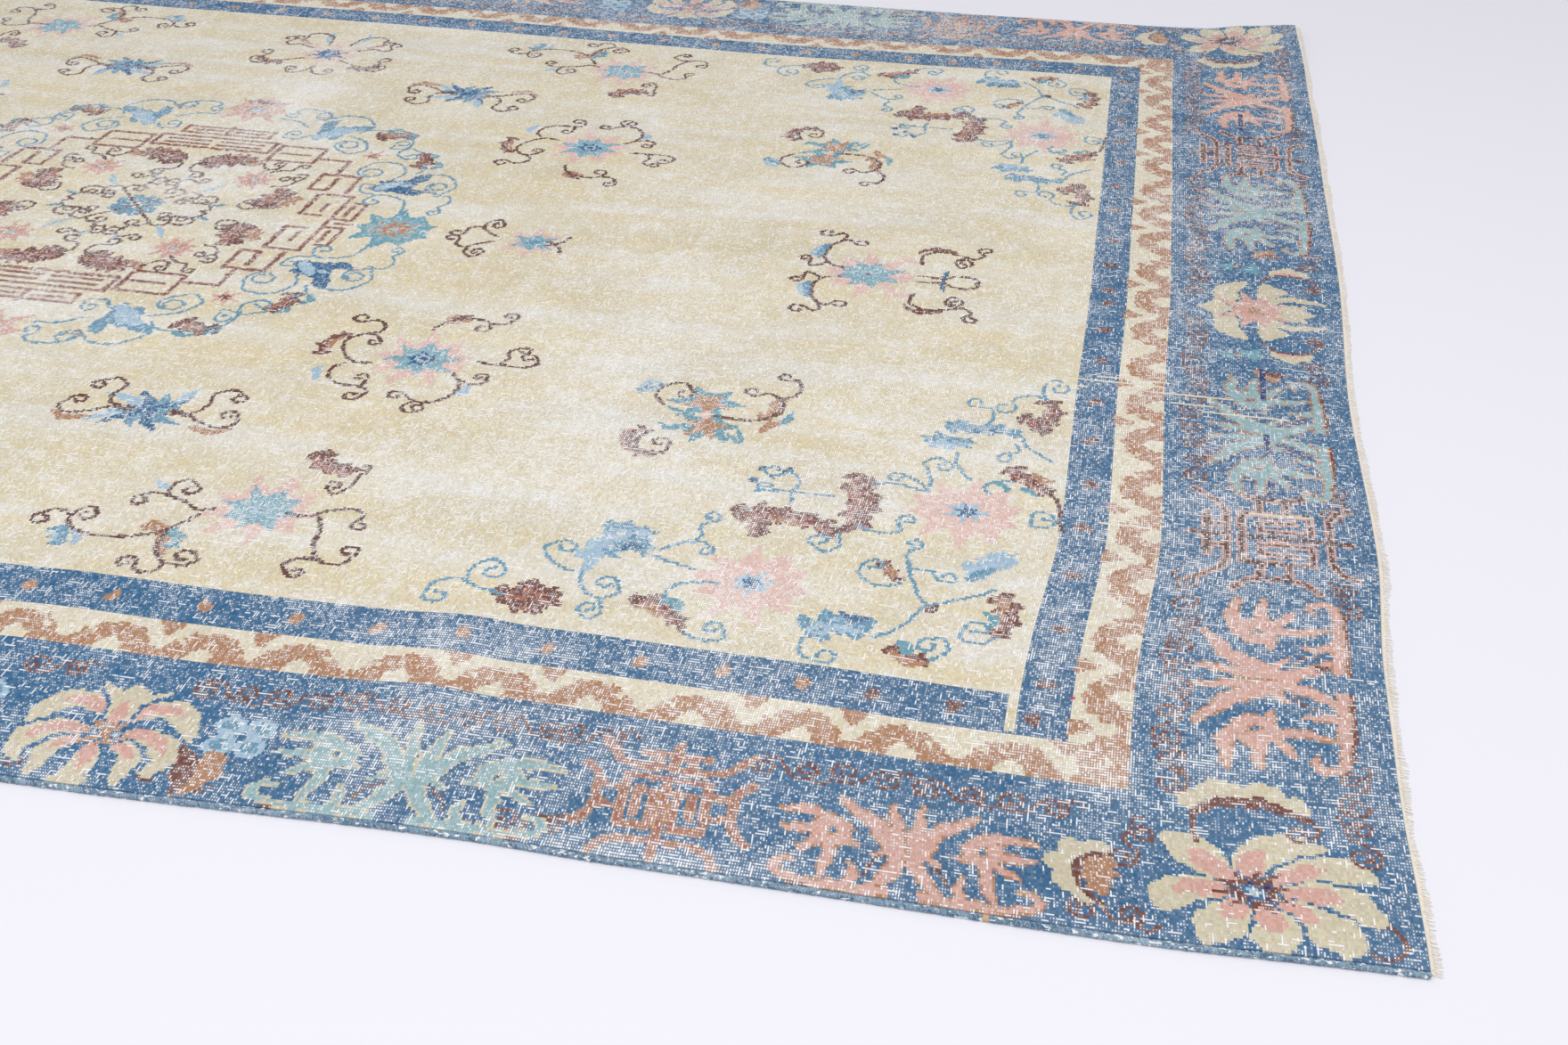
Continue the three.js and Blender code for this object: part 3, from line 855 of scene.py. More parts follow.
def medallion_wreath(pen):
    """The outer wreath of flowers, leaves and blue stems."""
    flower = pen.moved(336, 0)
    flower.fill(burst(9, 59, 38, 20), "teal")
    flower.fill(burst(11, 46, 26, 5), "pale_teal")
    flower.fill(burst(10, 36, 13, 0), "tan")
    flower.fill(oval(13, 13), "sky")
    for x, y, turn, dye in ((290, 134, 0, "blue"), (138, 298, 90, "mid_blue")):
        blossom = pen.moved(x, y, turn, 1.3, turn > 0)
        long_petal = curve((-26, -12), (-6, -8), (8, 8), (22, 36))
        blossom.fill(ribbon(long_petal, 26, peak=0.5, blunt=0.3, scallops=4, depth=0.4), dye)
        side_petal = curve((-22, 6), (-4, 2), (14, -14), (34, -8))
        blossom.fill(ribbon(side_petal, 20, peak=0.5, blunt=0.3, scallops=3, depth=0.4), dye)
        blossom.fill(ribbon(curve((-18, -16), (-8, -2), (2, 12)), 13, blunt=0.3), "sky")
        blossom.fill(oval(12, 8, (8, 2)), "sky")
        if turn:
            pale_petal = curve((-24, -14), (-10, -6), (4, 6), (10, 20))
            blossom.fill(ribbon(pale_petal, 22, 0.5, 0.4, scallops=4, depth=0.5), "sky")
    leaves(pen, (
        ("maroon", 26, (292, 198), (297, 218), (290, 238), (280, 250)),
        ("sky", 9, (312, 196), (318, 208), (316, 222)),
        ("teal", 11, (310, 200), (318, 212), (308, 226)),
        ("teal", 9, (304, 234), (302, 244), (292, 250)),
        ("maroon", 32, (202, 294), (218, 304), (236, 308), (250, 300)),
        ("tan", 14, (208, 298), (222, 306), (238, 308)),
        ("teal", 10, (206, 320), (218, 326), (232, 322)),
        ("teal", 8, (238, 318), (246, 312), (254, 302)),
        ("tan", 10, (330, 118), (338, 122), (346, 118)),
        ("tan", 10, (104, 336), (112, 346), (120, 352)),
    ))
    blossom = pen.moved(222, 226)
    blossom.fill(burst(6, 22, 8, 15), "pink")
    blossom.fill(burst(6, 11, 4, 45), "maroon")
    tendrils(pen, "mid_blue", (
        (16, (276, 152), (284, 178), (266, 206), (236, 204), (224, 182)),
        (-15, (160, 290), (190, 274), (203, 246), (186, 226), (166, 238)),
        (10, (324, 50), (318, 84), (296, 98), (276, 98), (268, 84)),
        (-9, (276, 98), (252, 104), (246, 118)),
        (-13, (308, 176), (340, 180), (362, 150), (352, 118), (336, 124)),
        (-8, (346, 112), (366, 112), (372, 94), (364, 80), (370, 66)),
        (0, (298, 176), (304, 196), (296, 210)),
        (10, (282, 250), (258, 262), (250, 240), (260, 228)),
        (-9, (258, 262), (236, 256), (234, 274)),
        (0, (176, 314), (200, 318), (240, 304), (256, 282), (256, 262)),
        (-13, (172, 300), (182, 330), (160, 360), (130, 362), (116, 348)),
        (0, (96, 308), (74, 326), (46, 330)),
        (-9, (112, 352), (96, 372), (72, 376), (56, 366), (62, 356)),
        (-9, (110, 280), (98, 262), (78, 264), (78, 280)),
    ))
    crown = pen.moved(0, 358)
    crown.fill(burst(8, 60, 30, 0), "pink")
    crown.fill(burst(6, 26, 12, 30), "tan")
    crown.fill(burst(5, 14, 7, 90), "sky")
    leaves(pen, (("maroon", 18, (0, 384), (14, 392), (24, 386)),))


def guard_waves(chart):
    middle = (BLUE_GUARD[1] + CREAM_GUARD[1]) / 2
    cream_guard_wave(Pen(chart, 1j * middle, 1, True), 15, 83.5)
    middle = (BLUE_GUARD[0] + CREAM_GUARD[0]) / 2
    cream_guard_wave(Pen(chart, middle + 0j, -1j, True), 1, 85.0)
    cream_guard_wave(Pen(chart, middle + 0j, 1j, False), 11, 85.0)


def draw(pen):
    middle = (CREAM_GUARD[1] + PILE_HALF_WIDTH) / 2
    side = Pen(pen.chart, 1j * middle, 1, True)
    end = Pen(pen.chart, complex((CREAM_GUARD[0] + PILE_HALF_LENGTH) / 2, 0), -1j, True)
    main_border(side, end)
    guard = Pen(pen.chart, 1j * (FIELD[1] + BLUE_GUARD[1]) / 2, 1, True)
    blue_guard_dots(guard, (0, 80, 158, 235, 312, 389, 473, 557, 629, 702, 778, 858, 929, 995), "tan")
    blue_guard_dots(guard, (1054, 1119, 1183), "maroon")
    guard = Pen(pen.chart, (FIELD[0] + BLUE_GUARD[0]) / 2 + 0j, 1j, False)
    blue_guard_dots(guard, (18, 90, 167, 262, 345, 430, 510, 590, 675, 757), "maroon")
    medallion(pen)
    axis_sprays(pen)
    cross_spray(pen)
    field_sprays(pen)
    corner_sprays(pen)
    corner_tendrils(pen)


def screen(red, green, blue):
    """A colour given as on a screen, as light."""
    share = np.array([red, green, blue]) / 255
    light = np.where(share <= 0.04045, share / 12.92, ((share + 0.055) / 1.055) ** 2.4)
    return (*light.tolist(), 1.0)


def quarter_chart():
    """One quarter of the design, from the rug's middle to a corner."""
    chart = np.zeros((ROWS, KNOTS), np.uint8)
    x = (np.arange(ROWS)[:, None] + 0.5) * ROW_PITCH
    y = (np.arange(KNOTS)[None, :] + 0.5) * KNOT_PITCH
    for reach, ink in ((FIELD, "blue"), (BLUE_GUARD, "ivory")):
        chart[(x > reach[0]) | (y > reach[1])] = INK[ink]
    guard_waves(chart)
    corner = line(
        (1242, 832), (1260, 830), (1260, 880), (1216, 880), (1216, 870), (1234, 868), (1243, 866),
        (1248, 852),
    )
    Pen(chart).fill(corner, "tan")
    chart[(x > CREAM_GUARD[0]) | (y > CREAM_GUARD[1])] = INK["blue"]
    draw(Pen(chart))
    return chart


SCREEN_DYES = np.array([screen(*colour)[:3] for colour in DYES.values()])
SOFTNESS = np.array([EASILY_WORN[name] for name in DYES])
UNDYED = EASILY_WORN["cream"]
INDIGO = EASILY_WORN["blue"]

# The rug's shape, in millimetres.
PILE_TOP = 4.5
WORN_AWAY = 1.1  # how much lower the pile is where it is most worn
PILE_FOOT = 1.9
GROUND_TOP = 1.6
GROUND_FOOT = 0.2
HALF_WIDTH = 1050.0  # from the centre to the outside of a selvedge
CORNER_LIFT = 6.0  # the far right corner curls up off the floor
CORNER_REACH = 190.0
CENTRE_SHIFT = (0.0, -28.0)  # from the design's centre to the middle of the whole rug

# How far each edge bulges out from a true rectangle: the place along the edge, then the bulge.
NEAR_EDGE = (
    (-1453, 0), (-1000, -5), (-500, -2), (0, 0), (450, 0), (780, -9), (900, -6), (1250, -3), (1453, -10),
)
FAR_EDGE = (
    (-1453, 6), (-950, 2), (-400, 4), (300, 4), (880, 7), (1180, 13), (1300, 19), (1380, 38), (1453, 56),
)
RIGHT_EDGE = (
    (-1050, 4), (-830, -2), (-690, -2), (-510, 5), (-200, -3), (110, 3), (500, -1), (850, -6), (1050, -14),
)
LEFT_EDGE = ((-1050, 2), (-600, -3), (-150, 3), (350, -2), (750, 4), (1050, -3))

# How far the bands inside wander: the place along the band, then the shift along +X or +Y.
NEAR_WANDER = (
    (-1453, -4), (-1000, -6), (-700, 2), (-250, -3), (0, 0), (290, -3), (350, 0), (500, -2), (620, -1),
    (700, 5), (760, 0), (960, -2), (1140, -8), (1453, -8),
)
FAR_WANDER = (
    (-1453, 3), (-900, 5), (-300, -3), (150, 0), (420, -5), (680, -9), (850, -3), (1090, 7), (1453, 9),
)
RIGHT_WANDER = ((-1050, -8), (-790, -8), (-500, 4), (-140, 5), (250, 0), (790, -5), (1050, -5))
LEFT_WANDER = ((-1050, 5), (-500, -4), (0, 3), (450, -5), (1050, 4))
# From where on it grows, fades and, beside the corners, fades too: along the rug and across it.
WANDER_GROWS = (300, 150)
WANDER_FADES = (1262, 880)
CORNER_FADES = (1320, 930)


def eased(table, at):
    """A table's value at a place, eased from one row to the next."""
    places, values = np.array(table, float).T
    at = np.clip(at, places[0], places[-1])
    row = np.clip(np.searchsorted(places, at, side="right") - 1, 0, len(places) - 2)
    share = (at - places[row]) / (places[row + 1] - places[row])
    share = share * share * (3 - 2 * share)
    return values[row] + (values[row + 1] - values[row]) * share


def smooth_step(value, low, high):
    share = np.clip((value - low) / (high - low), 0, 1)
    return share * share * (3 - 2 * share)


def outer_bulge(x, y):
    """The outward shifts of the end and of the side nearest to a place, signed along X and Y."""
    end = np.where(x < 0, -eased(LEFT_EDGE, y), eased(RIGHT_EDGE, y))
    side = np.where(y < 0, -eased(NEAR_EDGE, x), eased(FAR_EDGE, x))
    return end, side


def lift(x, y):
    """How high the cloth lies above the floor."""
    back = PILE_HALF_LENGTH - x + (HALF_WIDTH - y)
    return CORNER_LIFT * smooth_step(CORNER_REACH - back, 0, CORNER_REACH)


def cloth_place(u, v):
    """Where a place on the even design lies on the uneven rug."""
    along, across = u / PILE_HALF_LENGTH, v / PILE_HALF_WIDTH
    end, side = outer_bulge(u, v)
    inner_x = np.where(u < 0, eased(LEFT_WANDER, v), eased(RIGHT_WANDER, v))
    inner_y = np.where(v < 0, eased(NEAR_WANDER, u), eased(FAR_WANDER, u))
    share_x = smooth_step(abs(u), WANDER_GROWS[0], FIELD[0])
    share_x = share_x * (1 - smooth_step(abs(u), WANDER_FADES[0], PILE_HALF_LENGTH))
    share_y = smooth_step(abs(v), WANDER_GROWS[1], FIELD[1])
    share_y = share_y * (1 - smooth_step(abs(v), WANDER_FADES[1], PILE_HALF_WIDTH))
    fade_x = 1 - smooth_step(abs(v), CORNER_FADES[1], PILE_HALF_WIDTH)
    fade_y = 1 - smooth_step(abs(u), CORNER_FADES[0], PILE_HALF_LENGTH)
    x = u + end * along**4 + inner_x * share_x * fade_x
    y = v + side * across**4 + inner_y * share_y * fade_y
    return x, y


def metres(x, y, z):
    """Points in the row frame, from millimetres about the design's centre."""
    points = np.stack(np.broadcast_arrays(x + CENTRE_SHIFT[0], y + CENTRE_SHIFT[1], z), axis=-1)
    return points.reshape(-1, 3) / 1000


def wander(x, y, size, seed):
    """Soft noise from -1 to 1, about size millimetres from hill to hill."""
    octaves, waves = 3, 6
    total, weight = 0.0, 0.0
    made = np.random.default_rng(seed)
    for octave in range(octaves):
        for _ in range(waves):
            heading, phase = made.uniform(0, np.pi), made.uniform(0, 2 * np.pi)
            wave = 2 * np.pi / size * 2**octave * made.uniform(0.7, 1.4)
            total = total + np.sin(wave * (x * np.cos(heading) + y * np.sin(heading)) + phase) / 2**octave
        weight += 2.2 / 2**octave
    return np.clip(total / weight, -1, 1)


def mesh_object(name, points, loops, counts, material):
    """A smooth mesh of faces, each with its count of loops, linked to the scene."""
    mesh = bpy.data.meshes.new(name)
    mesh.vertices.add(len(points))
    mesh.vertices.foreach_set("co", np.ascontiguousarray(points, np.float32).ravel())
    mesh.loops.add(len(loops))
    mesh.loops.foreach_set("vertex_index", np.ascontiguousarray(loops, np.int32))
    mesh.polygons.add(len(counts))
    starts = np.concatenate([[0], np.cumsum(counts)[:-1]])
    mesh.polygons.foreach_set("loop_start", starts.astype(np.int32))
    mesh.polygons.foreach_set("use_smooth", np.full(len(counts), True))
    mesh.update(calc_edges=True)
    mesh.validate()
    mesh.materials.append(material)
    made = bpy.data.objects.new(name, mesh)
    bpy.context.scene.collection.objects.link(made)
    return made


def put_values(made, name, kind, domain, field, values, dtype=np.float32):
    """Gives each face, point or edge of a piece its own value."""
    layer = made.data.attributes.new(name, kind, domain)
    layer.data.foreach_set(field, np.ascontiguousarray(values, dtype).ravel())


# The knots of the whole rug, and the lattice between them. A piece has the lattice's points on two faces.
ALL_ROWS = 2 * ROWS
ALL_KNOTS = 2 * KNOTS
LATTICE = ALL_KNOTS + 1
FACE_POINTS = (ALL_ROWS + 1) * LATTICE
PLAIN_SQUARE = 8  # knots along the sides of the squares on a piece's plain face


def merged_cells(chart, sizes):
    """Squares of one dye, as large as the sizes allow, as (row, knot, size) arrays."""
    free = np.ones(chart.shape, bool)
    found = []
    for size in sizes:
        rows, knots = chart.shape[0] // size, chart.shape[1] // size
        blocks = chart.reshape(rows, size, knots, size)
        even = (blocks == blocks[:, :1, :, :1]).all(axis=(1, 3))
        even &= free.reshape(rows, size, knots, size).all(axis=(1, 3))
        if size == sizes[-1]:
            even = free.reshape(rows, size, knots, size).all(axis=(1, 3))
        row, knot = np.nonzero(even)
        found.append((row * size, knot * size, size))
        free &= ~np.repeat(np.repeat(even, size, 0), size, 1)
    return found


def rim(row, knot, size):
    """The lattice points round each square, anticlockwise seen from above."""
    step = np.arange(size)
    rows = np.concatenate([step, np.full(size, size), size - step, np.zeros(size, int)])
    knots = np.concatenate([np.zeros(size, int), step, np.full(size, size), size - step])
    return (row[:, None] + rows) * LATTICE + knot[:, None] + knots


def corners_used(cells):
    """Which lattice points are a corner of some square."""
    used = np.zeros(FACE_POINTS, bool)
    for row, knot, size in cells:
        for add_row, add_knot in ((0, 0), (size, 0), (size, size), (0, size)):
            used[(row + add_row) * LATTICE + knot + add_knot] = True
    return used


def faces_of(cells, used):
    """The squares' loops, with each used lattice point on their rims, their counts, rows and knots."""
    loops, counts, rows, knots = [], [], [], []
    for row, knot, size in cells:
        if not len(row):
            continue
        points = rim(row, knot, size)
        mask = used[points]
        loops.append(points[mask])
        counts.append(mask.sum(axis=1))
        rows.append(row)
        knots.append(knot)
    return (np.concatenate(part) for part in (loops, counts, rows, knots))


def inside(cells, box):
    """The squares that start in a box of rows and knots."""
    low_row, high_row, low_knot, high_knot = box
    for row, knot, size in cells:
        kept = (row >= low_row) & (row < high_row) & (knot >= low_knot) & (knot < high_knot)
        yield row[kept], knot[kept], size


def coarse_cells(box, size):
    """The box in squares of one size, as merged_cells gives them."""
    low_row, high_row, low_knot, high_knot = box
    rows, knots = np.arange(low_row, high_row, size), np.arange(low_knot, high_knot, size)
    row, knot = np.meshgrid(rows, knots, indexing="ij")
    return [(row.ravel(), knot.ravel(), size)]


def box_rim(box):
    """Lattice points once round a box, anticlockwise seen from above."""
    low_row, high_row, low_knot, high_knot = box
    rows, knots = np.arange(low_row, high_row), np.arange(low_knot, high_knot)
    return np.concatenate([
        rows * LATTICE + low_knot,
        high_row * LATTICE + knots,
        (rows[::-1] + 1) * LATTICE + high_knot,
        low_row * LATTICE + knots[::-1] + 1,
    ])


def turned_over(loops, counts):
    """The same faces with their points the other way round."""
    starts = np.concatenate([[0], np.cumsum(counts)])
    order = np.repeat(starts[:-1] + starts[1:] - 1, counts) - np.arange(len(loops))
    return loops[order]


def closed_panel(name, box, cells, used, fine, plain, fine_up, dyes, material):
    """A closed piece of the lattice: fine squares of single dyes on one face, plain squares on the other.
    fine and plain give the lattice points' places on the two faces."""
    edge = box_rim(box)
    edge = edge[used[edge]]
    fine_loops, fine_counts, fine_rows, fine_knots = faces_of(list(inside(cells, box)), used)
    plain_squares = coarse_cells(box, PLAIN_SQUARE)
    plain_used = corners_used(plain_squares)
    plain_used[edge] = True
    plain_loops, plain_counts, plain_rows, plain_knots = faces_of(plain_squares, plain_used)
    plain_loops = plain_loops + FACE_POINTS
    if fine_up:
        upper, lower = 0, FACE_POINTS
        plain_loops = turned_over(plain_loops, plain_counts)
    else:
        upper, lower = FACE_POINTS, 0
        fine_loops = turned_over(fine_loops, fine_counts)
    following = np.roll(edge, -1)
    walls = np.stack([edge + upper, edge + lower, following + lower, following + upper], axis=1).ravel()
    loops = np.concatenate([fine_loops, plain_loops, walls])
    counts = np.concatenate([fine_counts, plain_counts, np.full(len(edge), 4)])
    kept, loops = np.unique(loops, return_inverse=True)
    is_fine = kept < FACE_POINTS
    kept = kept % FACE_POINTS
    points = np.where(is_fine[:, None], fine(kept), plain(kept))
    made = mesh_object(name, points, loops, counts, material)
    rows = np.minimum(np.concatenate([fine_rows, plain_rows, edge // LATTICE]), ALL_ROWS - 1)
    knots = np.minimum(np.concatenate([fine_knots, plain_knots, edge % LATTICE]), ALL_KNOTS - 1)
    inks = dyes[rows, knots]
    colours = np.concatenate([SCREEN_DYES[inks], SOFTNESS[inks][:, None]], axis=1)
    put_values(made, "dye", "FLOAT_COLOR", "FACE", "color", colours)
    weave = np.stack([kept // LATTICE, kept % LATTICE, wear.ravel()[kept]], axis=1)
    put_values(made, "weave", "FLOAT_VECTOR", "POINT", "vector", weave)
    sharp = on_one_rim(made.data, kept, edge, is_fine)
    put_values(made, "sharp_edge", "BOOLEAN", "EDGE", "value", sharp, bool)
    return made


def on_one_rim(mesh, kept, edge, is_fine):
    """Which of a panel's edges run along the rim of its upper or its lower face."""
    ends = np.zeros(len(mesh.edges) * 2, np.int32)
    mesh.edges.foreach_get("vertices", ends)
    on_rim = np.isin(kept, edge)[ends].reshape(-1, 2).all(axis=1)
    face = is_fine[ends].reshape(-1, 2)
    return on_rim & (face[:, 0] == face[:, 1])


# Where the pile is worn down to the cotton, or, with a depth below 0, fuller than elsewhere: the centre,
# the reach along and across, and the depth.
WORN_PLACES = (
    (960, -845, 60, 35, 0.30), (690, -985, 40, 60, 0.20), (690, -820, 60, 34, 0.20),
    (730, -912, 110, 40, 0.34), (890, -1045, 120, 28, 0.42), (1350, -560, 90, 130, 0.17),
    (1250, -570, 50, 120, 0.24), (1350, -320, 50, 40, 0.24), (1330, -825, 60, 30, 0.30),
    (1430, -860, 30, 30, 0.20), (1430, -690, 24, 60, 0.14), (1235, -858, 26, 60, 0.34),
    (1370, 330, 80, 50, 0.20), (1440, 290, 26, 80, 0.22), (1245, 295, 30, 70, 0.22),
    (1330, 820, 120, 60, 0.08), (1280, 100, 30, 400, 0.08), (700, 960, 380, 90, 0.24),
    (0, 960, 300, 90, 0.20), (30, 420, 60, 160, 0.58), (650, 690, 60, 120, 0.25),
    (1010, -320, 90, 150, 0.25), (690, -330, 60, 190, 0.28), (960, -560, 140, 50, 0.12),
    (940, -460, 50, 50, 0.16), (1000, 300, 130, 150, 0.12), (110, 270, 90, 50, 0.15),
    (50, 70, 90, 60, 0.30), (10, -280, 70, 60, 0.26), (700, 60, 40, 420, 0.08),
    (1140, -100, 30, 500, 0.09), (700, -540, 200, 90, 0.22), (1320, -430, 50, 36, 0.26),
    (1270, -740, 40, 60, 0.20), (820, -805, 260, 26, 0.18), (1192, -690, 22, 130, 0.22),
    (921, -707, 55, 60, 0.40), (459, -675, 50, 50, 0.34), (470, -1030, 60, 30, 0.14),
    (900, -1062, 60, 24, 0.16), (228, 433, 60, 60, 0.22), (440, 300, 150, 150, -0.22),
    (330, -330, 90, 110, -0.20), (440, 20, 70, 220, -0.10), (900, 110, 160, 70, -0.12),
    (1225, -985, 110, 30, -0.20), (1425, -1000, 45, 70, -0.10), (1297, -939, 30, 30, -0.16),
    (1392, -959, 40, 40, -0.12), (1133, -885, 30, 25, -0.24), (250, -900, 260, 90, -0.10),
    (1420, 80, 40, 60, -0.15), (1196, 0, 26, 160, -0.16), (880, -930, 50, 40, 0.16),
    (912, -985, 60, 40, -0.14), (1300, -375, 40, 40, -0.10), (1369, -583, 30, 30, -0.14),
    (1247, -522, 24, 40, -0.12), (1410, -213, 30, 60, -0.16), (1350, 540, 50, 70, -0.12),
    (1240, -860, 22, 30, 0.14), (-90, 200, 120, 60, -0.12), (-400, 200, 260, 90, 0.25),
    (-900, -300, 130, 260, 0.25), (-1320, 300, 90, 330, 0.25), (-1250, -930, 120, 80, 0.25),
)


def worn_level(u, v):
    """How worn the pile is, from 0 to about 1."""
    level = 0.17 + 0.05 * wander(u, v, 700, 3) + 0.06 * wander(u, v, 240, 4) + 0.05 * wander(u, v, 90, 5)
    for x, y, reach_x, reach_y, depth in WORN_PLACES:
        level = level + 0.8 * depth * np.exp(-(((u - x) / reach_x) ** 2) - ((v - y) / reach_y) ** 2)
    made = np.random.default_rng(11)
    spare, streak = 21, 0.035
    along_rows = np.convolve(made.normal(0, 1, ALL_ROWS + spare), np.ones(3) / 3, "same")[:ALL_ROWS + 1]
    along_knots = np.convolve(made.normal(0, 1, ALL_KNOTS + spare), np.ones(2) / 2, "same")[:LATTICE]
    level = level + streak * along_rows[:, None] + streak * along_knots[None, :]
    return np.clip(level, 0, 1.1)


# The lattice's places on the even design (u along, v across) and on the uneven rug, and its pile.
lattice_u = (np.arange(ALL_ROWS + 1)[:, None] - ROWS) * ROW_PITCH
lattice_v = (np.arange(LATTICE)[None, :] - KNOTS) * KNOT_PITCH
lattice_u, lattice_v = np.broadcast_arrays(lattice_u, lattice_v)
lattice_x, lattice_y = cloth_place(lattice_u, lattice_v)
lattice_lift = lift(lattice_x, lattice_y)
wear = worn_level(lattice_u, lattice_v)
tufts = np.random.default_rng(21).normal(0, 0.05, wear.shape)
pile_height = PILE_TOP - WORN_AWAY * wear + 0.15 * wander(lattice_x, lattice_y, 60, 8) + tufts


def lattice_points(height):
    """A function from lattice numbers to points at this height, or at an array of heights."""
    heights = np.broadcast_to(height, wear.shape)

    def points(numbers):
        x, y = lattice_x.ravel()[numbers], lattice_y.ravel()[numbers]
        return metres(x, y, heights.reshape(-1)[numbers] + lattice_lift.ravel()[numbers])

    return points


# Places where the design is broken on one side only: from and to along, from and to across, and the dye.
MENDED = (
    (1162, 1169, -826, -776, "cream"), (1210, 1212, -774, -773, "rose"),
    *((1362, 1366, -174 - 24 * stitch, -154 - 24 * stitch, "navy") for stitch in (0, 1, 2, 6, 7, 10)),
    *((1352, 1356, 585 + 24 * stitch, 605 + 24 * stitch, "navy") for stitch in (0, 1, 2)),
    (1290, 1300, -850, -845, "maroon"), (1400, 1408, -700, -694, "maroon"),
    (1128, 1168, -200, -200, "ivory"), (1190, 1262, -207, -207, "ivory"), (1140, 1236, -217, -217, "ivory"),
    (1246, 1330, -228, -228, "ivory"), (1120, 1180, -232, -232, "ivory"), (1268, 1310, -250, -250, "ivory"),
    (1300, 1390, -262, -262, "ivory"), (1205, 1250, -500, -500, "ivory"), (1340, 1400, -455, -455, "ivory"),
)


def whole_chart():
    """The quarter's design on all four quarters."""
    quarter = quarter_chart()
    half = np.concatenate([quarter[:, ::-1], quarter], axis=1)
    whole = np.concatenate([half[::-1], half], axis=0)
    for low_x, high_x, low_y, high_y, ink in MENDED:
        rows = slice(ROWS + int(low_x / ROW_PITCH), ROWS + int(high_x / ROW_PITCH) + 1)
        whole[rows, KNOTS + int(low_y / KNOT_PITCH):KNOTS + int(high_y / KNOT_PITCH) + 1] = INK[ink]
    return whole


def tube(rings, sides):
    """The faces of a closed tube of rings, as loops and counts."""
    ring, corner = np.meshgrid(np.arange(rings - 1), np.arange(sides), indexing="ij")
    here, beside = ring * sides + corner, ring * sides + (corner + 1) % sides
    quads = np.stack([here, beside, beside + sides, here + sides], axis=-1)
    last_ring = (rings - 1) * sides + np.arange(sides)
    loops = np.concatenate([quads.ravel(), np.arange(sides)[::-1], last_ring])
    counts = np.concatenate([np.full(quads.size // 4, 4), [sides, sides]])
    return loops, counts


WRAPS = 760  # of wool, along each long side
RINGS_IN_WRAP = (0.90, 1.04, 1.02)  # the cord's share of its width at each ring of a wrap
CORD_SIDES = 10
CORD_WIDTH = 4.9  # the overcast edge, worn flat
CORD_THICKNESS = 3.9


def cord_piece(name, side, first, last, material):
    """A stretch of the overcast edge, from one wrap of wool to another. side is -1 near and 1 far."""
    wraps, steps = last - first, len(RINGS_IN_WRAP)
    rings = wraps * steps + 1
    share = (first + np.arange(rings) / steps) / WRAPS
    x = ((share * 2 - 1) * PILE_HALF_LENGTH)[:, None]
    turn = ((np.arange(CORD_SIDES) + 0.5) / CORD_SIDES * 2 * np.pi)[None, :]
    made = np.random.default_rng(int(first) + (31 if side > 0 else 57))
    uneven = np.repeat(made.normal(0, 1, wraps + 1), steps)[:rings][:, None]
    swell = np.tile(RINGS_IN_WRAP, wraps + 1)[:rings][:, None] * (1 + 0.05 * uneven)
    x = x + 0.7 * np.sin(turn)
    end, bulge = outer_bulge(x, np.full_like(x, side * HALF_WIDTH))
    x = x + end * (x / PILE_HALF_LENGTH) ** 4
    middle = side * (PILE_HALF_WIDTH - 0.2 + CORD_WIDTH / 2) + bulge
    across, up = (np.sign(way) * abs(way) ** 0.65 for way in (np.cos(turn), np.sin(turn)))
    y = middle + CORD_WIDTH / 2 * swell * across
    z = CORD_THICKNESS / 2 * (1 + swell * up) + lift(x, middle)
    z = np.maximum(z, lift(x, middle) + 0.1)
    return mesh_object(name, metres(x, y, z), *tube(rings, CORD_SIDES), material)


STRAND_RINGS = (1.0, 1.0, 0.4)  # a warp end's share of its thickness from root to tip
STRAND_SIDES = 3


def strand_shapes(roots, headings, lengths, thickness, bow, foot):
    """Cut warp ends as tapered strands, in points, loops and counts. bow turns each one aside on its way,
    and foot is its height above its root."""
    rings = len(STRAND_RINGS)
    share = np.linspace(0, 1, rings)
    along = lengths[:, None] * share
    bend = headings[:, None] + bow[:, None] * share
    radius = thickness[:, None] / 2 * np.array(STRAND_RINGS)
    middle_x = roots[:, 0:1] + along * np.cos(bend)
    middle_y = roots[:, 1:2] + along * np.sin(bend)
    middle_z = roots[:, 2:3] + foot[:, None] + radius
    turn = (np.arange(STRAND_SIDES) + 0.25) / STRAND_SIDES * 2 * np.pi
    out = radius[..., None] * np.cos(turn)
    x = middle_x[..., None] - np.sin(bend)[..., None] * out
    y = middle_y[..., None] + np.cos(bend)[..., None] * out
    z = middle_z[..., None] + radius[..., None] * np.sin(turn)
    loops, counts = tube(rings, STRAND_SIDES)
    first = (np.arange(len(roots)) * rings * STRAND_SIDES)[:, None]
    return metres(x, y, z), (first + loops).ravel(), np.tile(counts, len(roots))


STRIP_WIDTH = 4.3
# The bare strip's section: the share of its width out from the pile, and the height.
STRIP_SECTION = ((0.1, 0.2), (0.1, 1.6), (0.4, 1.6), (2.2 / 3, 1.2), (1.0, 0.8), (1.0, 0.2))
WARPS_IN_KNOT = 2
WARP_LENGTH = 9.8
WARP_ROOT = 1.5  # from the pile's edge
WARP_SLANT = -0.3  # radians, towards the near side


